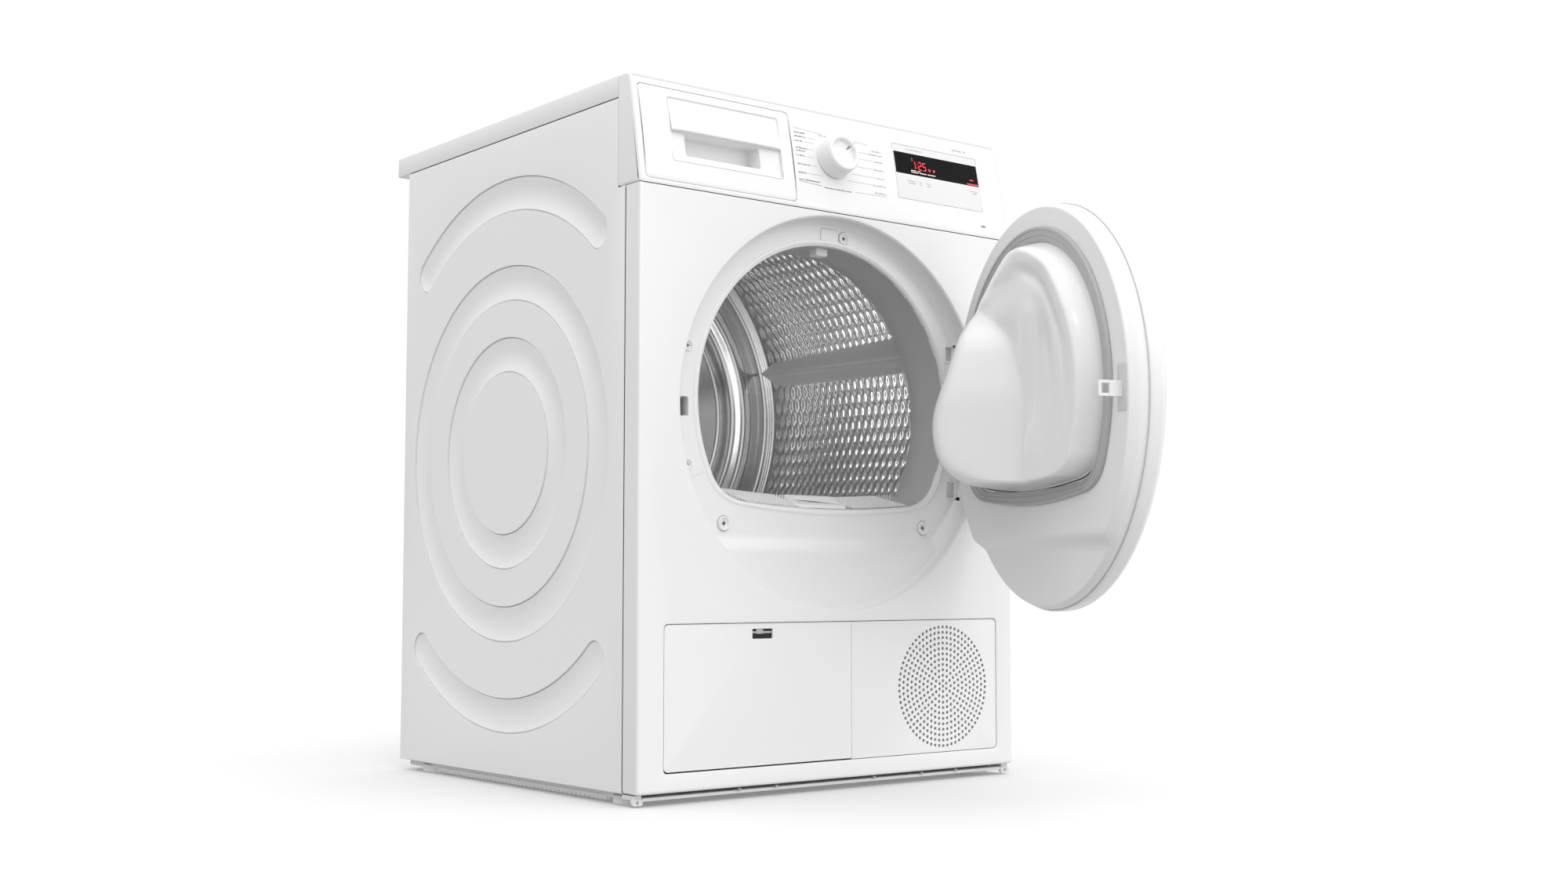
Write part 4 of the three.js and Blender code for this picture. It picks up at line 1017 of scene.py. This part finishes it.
# ---------------------------------------------------------------- lint filter
def mouth_bottom(x):
    """Height of the mouth's lower edge at x."""
    a = math.atan2(341.0 - DOOR_Z, x - DOOR_X)
    r = mouth_radius(a)
    return DOOR_Z + r * math.sin(a)


def lint_filter():
    plate = Form()
    xs = np.linspace(-146, 146, 60)

    def top(x, d):
        return mouth_bottom(x) + 1.0 + (d - 33.0) * 0.46
    rows = [[(x, d, top(x, d)) for x in xs] for d in np.linspace(33.5, 68.0, 8)]
    rows.append([(x, 68.5, top(x, 68.0) - 6) for x in xs])
    plate.rows(rows)
    plate.build("filter_sheet", GREY, "filter", "tank_plastic", ("lint_filter",), angle=60)
    ribs = Form()
    for slope in (1.0, -1.0):
        for k in range(-70, 71):
            base = k * 4.6
            line = []
            for d in np.linspace(34.5, 67.5, 5):
                x = base + slope * (d - 51) * 0.9
                line.append((x, d))
            if not all(-144 < x < 144 for x, _ in line):
                continue
            if abs(base) < 38 + (4 if slope > 0 else 0):
                continue
            half = 0.75
            low = [[(x + s * half, d, top(x, d) + h) for s, h in ((-1, 0.2), (-1, 1.3), (1, 1.3), (1, 0.2))]
                   for x, d in line]
            ribs.rows(low, closed=True)
    ribs.build("filter_mesh", FILTER, "filter", "tank_plastic", angle=40, merge=False)
    handle = Form()
    loop = rounded(-38, 42, 35.0, 66.0, 7, 6)
    rows = []
    for out, h in ((1.5, 0.2), (1.2, 1.6), (0.3, 2.6), (-1.5, 3.0), (-6.0, 3.0), (-8.5, 2.2), (-10.5, 1.2)):
        rows.append([(x, d, top(x, d) + h) for x, d in offset(loop, out)])
    ids = handle.rows(rows, closed=True)
    handle.cap(ids[-1])
    handle.build("filter_handle", FILTER, "filter", "tank_plastic", angle=50)


lint_filter()


# ---------------------------------------------------------------- drum
PADS_ROUND, PAD_PITCHES = 46, 27
PAD_FIRST, PAD_LAST = 97.0, 481.0
PAD_HALF_LENGTH, PAD_HALF_WIDTH, PAD_HEIGHT = 11.6, 5.5, 2.3


def pad_height(along, across):
    """Height of the pressed pads: pointed ovals on a staggered lattice (numpy arrays, millimetres)."""
    pitch_u = 2 * math.pi * DRUM_R / PADS_ROUND
    pitch_v = (PAD_LAST - PAD_FIRST) / PAD_PITCHES
    height = np.zeros(np.broadcast(along, across).shape)
    for shift in (0.0, 0.5):
        du = (along / pitch_u + shift + 0.5) % 1.0 - 0.5
        dv = (across / pitch_v + shift + 0.5) % 1.0 - 0.5
        end = np.clip(1 - (np.abs(du * pitch_u) / PAD_HALF_LENGTH) ** 2, 0, 1)
        side = np.clip(1 - (dv * pitch_v / (PAD_HALF_WIDTH * np.maximum(end, 1e-3))) ** 2, 0, 1)
        height = np.maximum(height, PAD_HEIGHT * side * end ** 0.5)
    return height


def drum():
    form = Form()
    per_u, per_v = 10, 8
    nu, nv = PADS_ROUND * per_u, PAD_PITCHES * per_v
    angles = 2 * math.pi * np.arange(nu) / nu

    def ring(radii, depth):
        r = np.broadcast_to(radii, angles.shape)
        return [(DRUM_X + p * math.cos(a), depth, DRUM_Z + p * math.sin(a)) for p, a in zip(r, angles)]
    profile = [(275.0, 80.5), (283.0, 80.5), (DRUM_R, 82.5), (DRUM_R, 90.0)]
    rows = [ring(r, d) for r, d in profile]
    for j in range(nv + 1):
        across = (PAD_LAST - PAD_FIRST) * j / nv
        fade = smooth(across, 0, 6) * smooth(PAD_LAST - PAD_FIRST - across, 0, 6)
        rows.append(ring(DRUM_R - fade * pad_height(angles * DRUM_R, across), PAD_FIRST + across))
    tail = [(DRUM_R, 484.0)]
    for k in range(3):
        d = 485.5 + k * 5.5
        tail += [(DRUM_R, d), (DRUM_R - 1.8, d + 0.7), (DRUM_R - 3.0, d + 2.2), (DRUM_R - 1.8, d + 3.7),
                 (DRUM_R, d + 4.4)]
    tail += [(DRUM_R, 505.5)]
    rows += [ring(r, d) for r, d in tail]
    form.rows(rows, closed=True)
    form.build("drum_skin", STEEL, "drum", "drum_steel", ("drum_shell",), angle=60)

    rear = Form()
    flange = [(284.2, 505.0), (281.5, 507.5), (277.0, 508.2), (270.0, 507.0), (262.0, 504.4),
              (256.0, 501.8), (252.5, 500.8)]
    torus = [(250.5, 500.2), (248.0, 498.2), (244.0, 496.4), (240.0, 495.8), (236.0, 496.4),
             (232.0, 498.8), (229.0, 502.5)]
    channel = [(226.0, 507.0), (222.0, 510.5), (217.0, 512.0), (212.0, 511.2), (207.0, 508.6),
               (202.0, 505.4), (197.0, 503.2)]
    disc = [(193.5, 502.2), (191.0, 502.6), (189.5, 504.0), (186.0, 504.5), (120.0, 503.5),
            (110.0, 502.5), (60.0, 502.0)]
    hub = [(48.0, 500.5), (40.0, 497.5), (30.0, 496.5), (0.01, 496.5)]
    knots = flange + torus + channel + disc + hub
    lathe(rear, knots, DRUM_X, DRUM_Z, 200, closed=False)
    # The rear wall takes the darker copy of the drum steel as painted shade.
    rear.build("drum_back", REAR_STEEL_SHADED, "drum", "drum_steel", ("drum_rear_wall",), angle=60)


drum()


LIFTER_ANGLE = 15.5


def lifters():
    """Three ridges: wide and tall at the front, running out low at the rear, crest nearer the lower foot."""
    for index in range(3):
        form = Form()
        turn = math.radians(LIFTER_ANGLE + 120 * index)
        rows = []
        for k in range(49):
            t = k / 48
            d = 84.0 + (503.0 - 84.0) * t
            tip = math.sqrt(max(0.0, 1 - smooth(t, 0.86, 1.0) ** 2)) if t > 0.86 else 1.0
            foot_up = (27 - 15 * t ** 1.5) * (0.15 + 0.85 * tip)
            foot_down = (27 + 3 * math.sin(math.pi * t)) * (0.1 + 0.9 * tip)
            tall = (48 - 30 * t ** 0.9) * (0.25 + 0.75 * tip)
            crest = -8 + 5 * t
            row = []
            for s in np.linspace(-1, 1, 33):
                side = crest + (s * (foot_up - crest) if s > 0 else s * (foot_down + crest))
                reach_up = 1 - abs(s)
                rounding = 0.16 if s > 0 else 0.10
                height = tall * (reach_up - rounding * math.exp(-(abs(s) / 0.12) ** 2) * 0.9
                                 - 0.10 * math.sin(math.pi * reach_up))
                reach = math.sqrt(DRUM_R ** 2 - side ** 2) + 1.0 - height
                x = reach * math.cos(turn) - side * math.sin(turn)
                z = reach * math.sin(turn) + side * math.cos(turn)
                row.append((DRUM_X + x, d, DRUM_Z + z))
            rows.append(row)
        ids = form.rows(rows)
        form.cap(ids[0])
        form.cap(ids[-1])
        form.build("lifter_%d" % (index + 1), LIFTER, "drum", "grey_plastic",
                   ("drum_lifter_%d" % (index + 1),), angle=60)


lifters()


# ---------------------------------------------------------------- lower field: flap, vent cover and latch
def lower_field():
    x0, x1, z0, z1 = FIELD
    depth = 1.5

    def lift(x, z, b=0.0):
        return (x, depth + b, z)
    window = rounded(-134.6, -103.4, 184.8, 197.1, 1.2, 3)
    flap = Form()
    corner = rounded(x0 + 1.6, SEAM_X + 8.0, z0 + 2.2, z1 - 1.1, 5.5, 6)
    outline = [(SEAM_X - 1.0, z1 - 1.1)]
    outline += [p for p in corner if p[0] < SEAM_X - 10]
    outline += [(SEAM_X - 1.0, z0 + 2.2)]
    flap.flat([outline, window], lambda x, z: inside(outline, x, z) and not inside(window, x, z), lift)
    flap.rim(outline, [(0, 0), (0.35, 0.1), (0.5, 0.5), (0.5, 2.4)], lift)
    flap.rim(window, [(0, 0), (-0.3, 0.2), (-0.4, 0.6), (-0.4, 2.6)], lift)
    flap.build("flap_panel", PAINT, "flap", "white_plastic", ("maintenance_flap",), angle=30)
    # A near-black block behind the latch window: painted shade in the well.
    well = Form()
    well.block(-134.2, -103.8, 5.6, 6.2, 185.2, 196.7)
    well.build("latch_well", PAINTED_SHADE, "flap", "white_plastic")
    bar = Form()
    bar.block(-133.5, -104.5, 2.8, 4.6, 191.4, 194.0)
    bar.block(-128.0, -118.0, 1.9, 4.2, 190.8, 196.4)
    bar.build("latch_bar", GREY, "latch", "grey_plastic", ("flap_latch",), bevel=0.6)

    vent = Form()
    corner = rounded(SEAM_X - 8.0, x1 - 1.0, z0 + 1.2, z1 - 1.1, 5.5, 6)
    outline = [p for p in corner if p[0] > SEAM_X + 10]
    top = [p for p in outline if p[1] > 120]
    low = [p for p in outline if p[1] <= 120]
    outline = low + top + [(SEAM_X + 0.6, z1 - 1.1), (SEAM_X + 0.6, z0 + 1.2)]
    holes = [circle(FAN_X, FAN_Z, VENT_HOLE, 10)]
    for ring in range(1, 12):
        n = 6 * ring
        for i in range(n):
            a = 2 * math.pi * (i + 0.5 * (ring % 2)) / n
            holes.append(circle(*polar(FAN_X, FAN_Z, VENT_PITCH * ring, a), VENT_HOLE, 10))
    centres = np.array([np.mean(h, axis=0) for h in holes])

    def keep(x, z):
        if not inside(outline, x, z):
            return False
        return np.min(np.hypot(centres[:, 0] - x, centres[:, 1] - z)) > 2.1
    vent.flat([outline] + holes, keep, lift)
    vent.rim(outline, [(0, 0), (0.35, 0.1), (0.5, 0.5), (0.5, 2.4)], lift)
    for hole in holes:
        vent.rim(hole, [(0, 0), (-0.15, 0.2), (-0.2, 2.6)], lift)
    vent.build("vent_panel", PAINT, "cabinet", "white_plastic", ("vent_cover",), angle=30)
    # A grey disc behind the vent holes: painted shade seen through them.
    dark = Form()
    lathe(dark, [(82, 9.0), (0.01, 9.2)], FAN_X, FAN_Z, 64, closed=False)
    dark.build("vent_painted_shade", GREY, "cabinet", "grey_plastic")
    # grey strip behind the seam between flap and cover: painted shade standing in for the gap's shadow
    strip = Form()
    strip.block(SEAM_X - 0.3, SEAM_X + 0.7, 3.9, 4.3, z0 + 2, z1 - 1)
    strip.build("seam_strip", GREY, "cabinet", "white_plastic")


lower_field()


# ---------------------------------------------------------------- base tray and feet
def tray():
    # The tray's colour carries painted shade for the gap under the machine.
    form = Form()
    form.block(-285, 285, 8, 34, 6.2, 10)
    form.block(-288, 288, 33, 556, 6, 13.5)
    form.build("tray_deck", TRAY_SHADED, "cabinet", "grey_plastic", ("base_tray",), bevel=0.8)
    ribs = Form()
    for side in (-1, 1):
        for k in range(44):
            d = 78 + k * 9.4
            if 478 < d < 532:
                continue
            ribs.block(min(side * 281, side * 288.5), max(side * 281, side * 288.5), d, d + 4.4, 2.6, 8)
        ribs.block(min(side * 279, side * 289), max(side * 279, side * 289), 76, 478, 5, 9)
    ribs.build("tray_ribs", TRAY_SHADED, "cabinet", "grey_plastic", bevel=0.6, merge=False)
    walls = Form()
    for sheet in ((-288, 288, 33, 36), (-288, 288, 553, 556), (-288, -285, 33, 556), (285, 288, 33, 556)):
        walls.block(*sheet, 12, 64)
    walls.build("tray_walls", TRAY_SHADED, "cabinet", "grey_plastic", merge=False)
    tabs = Form()
    for side in (-1, 1):
        loop = rounded(*sorted((side * 284.5, side * 298.6)), 2.0, 9.5, 3.2, 5)
        hole = circle(side * 292, 5.6, 1.7, 12)

        def keep(x, z):
            return inside(loop, x, z) and math.hypot(x - side * 292, z - 5.6) > 1.7

        def lift(x, z, back=0.0):
            return (x, 8.0 + back, z)
        tabs.flat([loop, hole], keep, lift)
        tabs.rim(loop, [(0, 0), (0.2, 0.2), (0.2, 4.0)], lift)
        tabs.rim(hole, [(0, 0), (0, 3.6)], lift)
        tabs.block(*sorted((side * 286.0, side * 297.5)), 9.0, 30.0, 8.6, 13.2)
    tabs.build("tray_tabs", TRAY_SHADED, "cabinet", "grey_plastic", merge=False)
    clips = Form()
    for x in (-150, -95, 60, 140, 200):
        clips.block(x - 1.2, x + 1.2, 4.0, 8.2, 9.4, 12.6)
    clips.build("tray_clips", GREY, "cabinet", "grey_plastic", bevel=0.4, merge=False)


tray()


# radius, height and depth of the fluting, from the sole up to the tip of the stud
FOOT_PROFILE = ((15.0, 0.05, 0), (16.5, 0.4, 0), (17.4, 1.6, 0.2), (17.6, 2.4, 1.0), (17.6, 9.4, 1.0),
                (17.2, 10.2, 0.2), (15.5, 10.9, 0), (4.2, 11.0, 0), (3.9, 11.5, 0), (3.9, 40.0, 0),
                (3.0, 41.5, 0))


def feet():
    for name, body, x, d in (("front_left", "foot_fl", -276, 50), ("front_right", "foot_fr", 276, 50),
                             ("rear_left", "foot_rl", -276, 505), ("rear_right", "foot_rr", 276, 505)):
        form = Form()
        count = 72
        rows = []
        for r, z, flute in FOOT_PROFILE:
            row = []
            for i in range(count):
                a = 2 * math.pi * i / count
                rr = r - flute * 0.8 * (0.5 + 0.5 * math.cos(18 * a))
                row.append((x + rr * math.cos(a), d + rr * math.sin(a), z))
            rows.append(row)
        ids = form.rows(rows, closed=True)
        form.cap(ids[0])
        form.cap(ids[-1])
        form.build("levelling_" + name, FOOTGREY, body, "foot_plastic", ("foot_" + name,), angle=45)


feet()


# ---------------------------------------------------------------- door (drawn shut)
def door_shell():
    ring = Form()
    r = DOOR_R - 0.2
    profile = [(206.8, -16.0), (206.8, -29.5), (208.0, -30.0), (224.0, -29.4)]
    corner = 9
    for a in np.radians(range(10, 91, 10)):
        profile.append((r - corner + corner * math.sin(a), -19.6 - corner * math.cos(a)))
    profile += [(r, -12.0), (r, -7.6), (r - 0.5, -6.6), (r - 1.3, -6.3), (r - 2.2, -6.7), (r - 3.0, -7.3),
                (r - 3.6, -7.6)]
    lathe(ring, profile, DOOR_X, DOOR_Z, TURNS, closed=False)
    ring.build("door_rim", DOORWHITE, "door", "door_white", ("door_ring",), at=swung, angle=50)

    cover = Form()
    profile = [(205.2, -17.0), (205.4, -27.0), (204.8, -28.4), (203.0, -29.3), (190.0, -31.4),
               (160.0, -34.9), (120.0, -38.6), (80.0, -40.8), (40.0, -41.8), (0.01, -42.0)]
    lathe(cover, profile, DOOR_X, DOOR_Z, 160, closed=False)
    cover.build("door_cover", DOORWHITE, "door", "door_white", ("door_front_cover",), at=swung, angle=40)


door_shell()

FACE_IN, FACE_LOW = 17.0, 5.2


def door_floor(x, z):
    """Height of the inner frame's face: it steps back towards the front below the bowl."""
    return FACE_LOW + (FACE_IN - FACE_LOW) * smooth(z, 289.0, 307.0)


LUGS = (414.0, 504.0)


def door_frame():
    form = Form()
    count = 320

    def at_angle(i, r):
        return polar(DOOR_X, DOOR_Z, r, 2 * math.pi * i / count)
    wall = [(238.2, -8.0), (238.7, -7.5), (239.0, -6.6), (239.0, 4.4), (238.8, 5.6), (236.4, 14.2)]
    wall += [(236.2 - 2.4 * (1 - math.cos(b)), 14.6 + 2.4 * math.sin(b))
             for b in np.linspace(0.15, math.pi / 2, 6)]
    rows = []
    for r, d in wall:
        row = []
        for i in range(count):
            x, z = at_angle(i, r)
            row.append((x, -8.0 + (d + 8.0) * (door_floor(x, z) + 8.0) / (FACE_IN + 8.0), z))
        rows.append(row)
    steps = 30
    for k in range(1, steps + 1):
        row = []
        for i in range(count):
            a = 2 * math.pi * i / count
            end = mouth_radius(a, -18.0) + 0.5
            r = 233.8 + (end - 233.8) * k / steps
            x, z = at_angle(i, r)
            row.append((x, door_floor(x, z), z))
        rows.append(row)
    form.rows(rows, closed=True)
    form.keep(lambda x, z: not (x > 212 and any(abs(z - lug) < 8 for lug in LUGS)))
    form.build("door_frame", WHITE, "door", "white_plastic", ("door_inner_frame",), at=swung, angle=34)


door_frame()


def door_seal():
    """A flat lip seal with fine steps round the bowl."""
    form = Form()
    profile = [(-19.0, 17.2), (-18.4, 19.0), (-17.0, 19.8), (-12.6, 20.4), (-12.0, 19.8), (-11.4, 19.8),
               (-10.8, 20.6), (-6.0, 21.4), (-5.4, 20.8), (-4.8, 20.8), (-4.2, 21.6), (-2.4, 21.9),
               (-1.0, 21.4), (-0.3, 20.0), (0.0, 17.4)]
    rows = [mouth_ring(-9.0, d, 256, g + 9.0) for g, d in profile]
    form.rows(rows, closed=True)
    form.build("seal_lip", SEAL, "door", "seal_rubber", ("door_seal",), at=swung, angle=40)


door_seal()


def smin(a, b, k):
    h = np.clip(0.5 + 0.5 * (b - a) / k, 0, 1)
    return b * (1 - h) + a * h - k * h * (1 - h)


def smax(a, b, k):
    return -smin(-a, -b, k)


def gentle(z, knots, values, reach=14.0):
    """Values interpolated between knots, averaged over a short stretch so that no crease shows."""
    return sum(np.interp(z + reach * k / 4, knots, values) for k in range(-4, 5)) / 9


def bowl_height(x, z, inset, steep):
    """Height of the bowl over the door's face: a pan with a shoulder, and a blunt nose low in the middle."""
    lean = 0.08 * np.clip((605 - z) / 45, 0, 1)
    upper = np.clip((z - 400) / 60, 0, 1)
    valley = 5.0 * np.exp(-((x + 80) / 24.0) ** 2) * upper * np.clip((620 - z) / 50, 0, 1)
    shelf = 30.0 + lean * (x + 150) - valley
    crease = gentle(z, [394, 470, 503, 523, 538, 558, 574, 600], [-46, -44, -34, -27, -17, 20, 62, 150])
    face = 30.0 + lean * (crease + 150) + 1.05 * (x - crease)
    top = gentle(z, [340, 354, 367, 380, 396, 416, 442, 462, 489, 523, 550, 574, 605, 634, 650, 670],
                 [20, 50, 83, 104, 117, 122, 124, 118, 107, 95, 86, 74, 55, 35, 19, 0])
    fall = np.interp(z, [535, 595], [0.8, 0.46])
    crown = np.interp(z, [535, 595], [8.0, 1.0])
    hinge = top + crown - fall * (x - 22.0)
    nose = smin(face, top, 24.0)
    body = smin(smax(shelf, nose, 9.0), hinge, 24.0)
    fold = 2.4 * np.exp(-((inset - 34.0) / 6.0) ** 2) * np.clip(-x / 40, 0, 1) * upper
    return smin(body - fold, inset * steep, 16.0)


def relaxed(heights, rounds):
    """Softens a grid of heights (rings by spokes), leaving the outer rings where they are."""
    for _ in range(rounds):
        around = (np.roll(heights, 1, 1) + np.roll(heights, -1, 1)) / 2
        across = heights.copy()
        across[1:-1] = (heights[:-2] + heights[2:]) / 2
        heights[3:] = (0.5 * heights + 0.25 * around + 0.25 * across)[3:]
    return heights


def bowl():
    form = Form()
    count, steps = 288, 96
    tip = np.array([20.0, 455.0])
    rows = [mouth_ring(-19.7, 17.2, count, 1.2), mouth_ring(-19.7, 18.4, count, 0.8)]
    outline = np.array([(p[0], p[2]) for p in mouth_ring(-19.7, 0.0, count)])
    reach = np.linalg.norm(outline - tip, axis=1)
    steep = 4.2 + 7.0 * np.clip((398 - outline[:, 1]) / 30, 0, 1)
    heights, places = [], []
    for k in range(steps + 1):
        share = (k / steps) ** 1.5
        q = outline + (tip - outline) * share
        heights.append(bowl_height(q[:, 0], q[:, 1], reach * share, steep))
        places.append(q)
    heights = relaxed(np.array(heights), 12)
    for q, h in zip(places, heights):
        rows.append([(q[i, 0], 18.4 + max(0.0, h[i]), q[i, 1]) for i in range(count)])
    form.rows(rows, closed=True)
    form.build("bowl_skin", BOWL, "door", "bowl", ("door_bowl",), at=swung, angle=80)


bowl()


def hook_and_hinge():
    form = Form()
    x = -218.0
    # a bent strip with a window
    form.block(x - 1.6, x + 0.9, 17.0, 33.0, 449.0, 466.5)
    form.block(x - 1.6, x + 0.9, 33.0, 43.0, 449.0, 452.5)
    form.block(x - 1.6, x + 0.9, 33.0, 43.0, 463.0, 466.5)
    form.block(x - 1.6, x + 0.9, 42.0, 45.8, 449.0, 466.5)
    form.build("hook_strip", DOORWHITE, "door", "white_plastic", ("door_hook",), at=swung, bevel=0.8,
               merge=False)
    pad = Form()
    loop = rounded(-229.0, -208.0, 434.0, 486.0, 3.0, 5)
    pad.flat([loop], lambda a, b: inside(loop, a, b), lambda a, b: (a, FACE_IN + 0.5, b))
    pad.rim(loop, [(0, 0), (0.3, -0.15), (0.4, -0.6)], lambda a, b, d=0.0: (a, FACE_IN + 0.5 + d, b))
    pad.build("hook_pad", FOOTGREY, "door", "white_plastic", at=swung)


hook_and_hinge()


# ---------------------------------------------------------------- finishes of the carried-over CAD nodes
FINISH = {
    "rear_panel": GALV, "rear_duct_cover": GALV, "power_inlet": DARK, "control_board": DARK,
    "tank_housing": GREY, "condensate_tank": TANKWHITE, "front_bulkhead": TUNNEL,
    "hinge_bracket": GALV, "door_lock": DARK,
    "filter_duct": TUNNEL, "drum_seal": SEAL, "drum_bearing": GALV, "support_roller_left": RUBBER,
    "support_roller_right": RUBBER, "drive_motor": GALV, "motor_pulley": GALV, "blower_impeller": GREY,
    "blower_housing": GREY, "drive_belt": RUBBER, "idler_arm": GALV, "idler_roller": DARK,
    "evaporator": FINS,
    "condenser": FINS, "compressor": BLACKPAINT, "refrigerant_pipe": COPPER, "condensate_pump": DARK,
    "cooling_fan": DARK, "fan_shroud": GREY, "door_hinge": GALV,
}
for node, finish in FINISH.items():
    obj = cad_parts[node]
    obj.data.materials.clear()
    obj.data.materials.append(finish)
    for slot_item in obj.material_slots:
        slot_item.material = finish


# ---------------------------------------------------------------- stage, lights and camera
def studio_world():
    """A white room: brightest overhead and in front, plain white wherever the camera sees it."""
    world = bpy.data.worlds.new("studio")
    bpy.context.scene.world = world
    world.use_nodes = True
    nodes, links = world.node_tree.nodes, world.node_tree.links
    back = nodes["Background"]
    where = nodes.new("ShaderNodeTexCoord")
    total = None
    overhead, front, door_side = ((0, 0, 1), 1.2), ((0.42, -0.9, 0.1), 0.72), ((-0.9, 0.3, 0.3), 0.16)
    for direction, weight in (overhead, front, door_side):
        dot = nodes.new("ShaderNodeVectorMath")
        dot.operation = "DOT_PRODUCT"
        dot.inputs[1].default_value = direction
        links.new(where.outputs["Generated"], dot.inputs[0])
        lit = nodes.new("ShaderNodeMath")
        lit.operation = "MAXIMUM"
        lit.inputs[1].default_value = 0.0
        links.new(dot.outputs["Value"], lit.inputs[0])
        add = nodes.new("ShaderNodeMath")
        add.operation = "MULTIPLY_ADD"
        add.inputs[1].default_value = weight
        links.new(lit.outputs[0], add.inputs[0])
        if total:
            links.new(total.outputs[0], add.inputs[2])
        else:
            add.inputs[2].default_value = 0.42
        total = add
    seen = nodes.new("ShaderNodeLightPath")
    pick = nodes.new("ShaderNodeMix")
    links.new(seen.outputs["Is Camera Ray"], pick.inputs[0])
    links.new(total.outputs[0], pick.inputs[2])
    pick.inputs[3].default_value = 1.05
    back.inputs["Color"].default_value = (1, 1, 1, 1)
    links.new(pick.outputs[0], back.inputs["Strength"])


def area(name, place, target, size, power):
    light = bpy.data.lights.new(name, "AREA")
    light.shape = "RECTANGLE"
    light.size, light.size_y = size
    light.energy = power
    obj = bpy.data.objects.new(name, light)
    bpy.context.scene.collection.objects.link(obj)
    obj.location = place
    obj.rotation_euler = (Vector(target) - Vector(place)).to_track_quat("-Z", "Y").to_euler()
    obj.visible_camera = False


def stage():
    mesh = bpy.data.meshes.new("floor")
    size = 30.0
    corners = [(-size, -size, 0), (size, -size, 0), (size, size, 0), (-size, size, 0)]
    mesh.from_pydata(corners, [], [(0, 1, 2, 3)])
    floor = bpy.data.objects.new("floor", mesh)
    bpy.context.scene.collection.objects.link(floor)
    white = material("floor_white", (0.75, 0.75, 0.75), 0.7, vary=0.004, grain=8, bump=0.0, spec=0.2)
    mesh.materials.append(white)
    floor.visible_diffuse = False

    studio_world()
    area("key_front", (0.9, -3.4, 2.6), (0.0, -0.2, 0.4), (1.2, 1.0), 7)
    area("left_graze", (-1.2, -2.2, 3.0), (-0.3, 0.2, 0.3), (0.5, 0.5), 5)
    area("bowl_strip", (-1.6, 0.6, 1.5), (0.2, -0.5, 0.45), (0.15, 1.0), 1.5)
    area("drum_strip_left", (-0.17, 0.02, 0.50), (0.28, 0.05, 0.47), (0.05, 0.32), 0.20)
    area("drum_strip_low", (-0.05, 0.0, 0.40), (0.10, 0.15, 0.75), (0.05, 0.32), 0.11)

    camera = bpy.data.objects.new("camera", bpy.data.cameras.new("camera"))
    bpy.context.scene.collection.objects.link(camera)
    camera.location = (-1.4642, -2.0060, 0.2525)
    camera.rotation_euler = (math.radians(94.385), 0, math.radians(-38.885))
    camera.data.lens = 42.04
    camera.data.sensor_width = 36.0
    camera.data.clip_end = 200
    bpy.context.scene.camera = camera
    view = bpy.context.scene.view_settings
    view.view_transform = "Standard"
    view.look = "None"
    view.exposure = 0.0


stage()
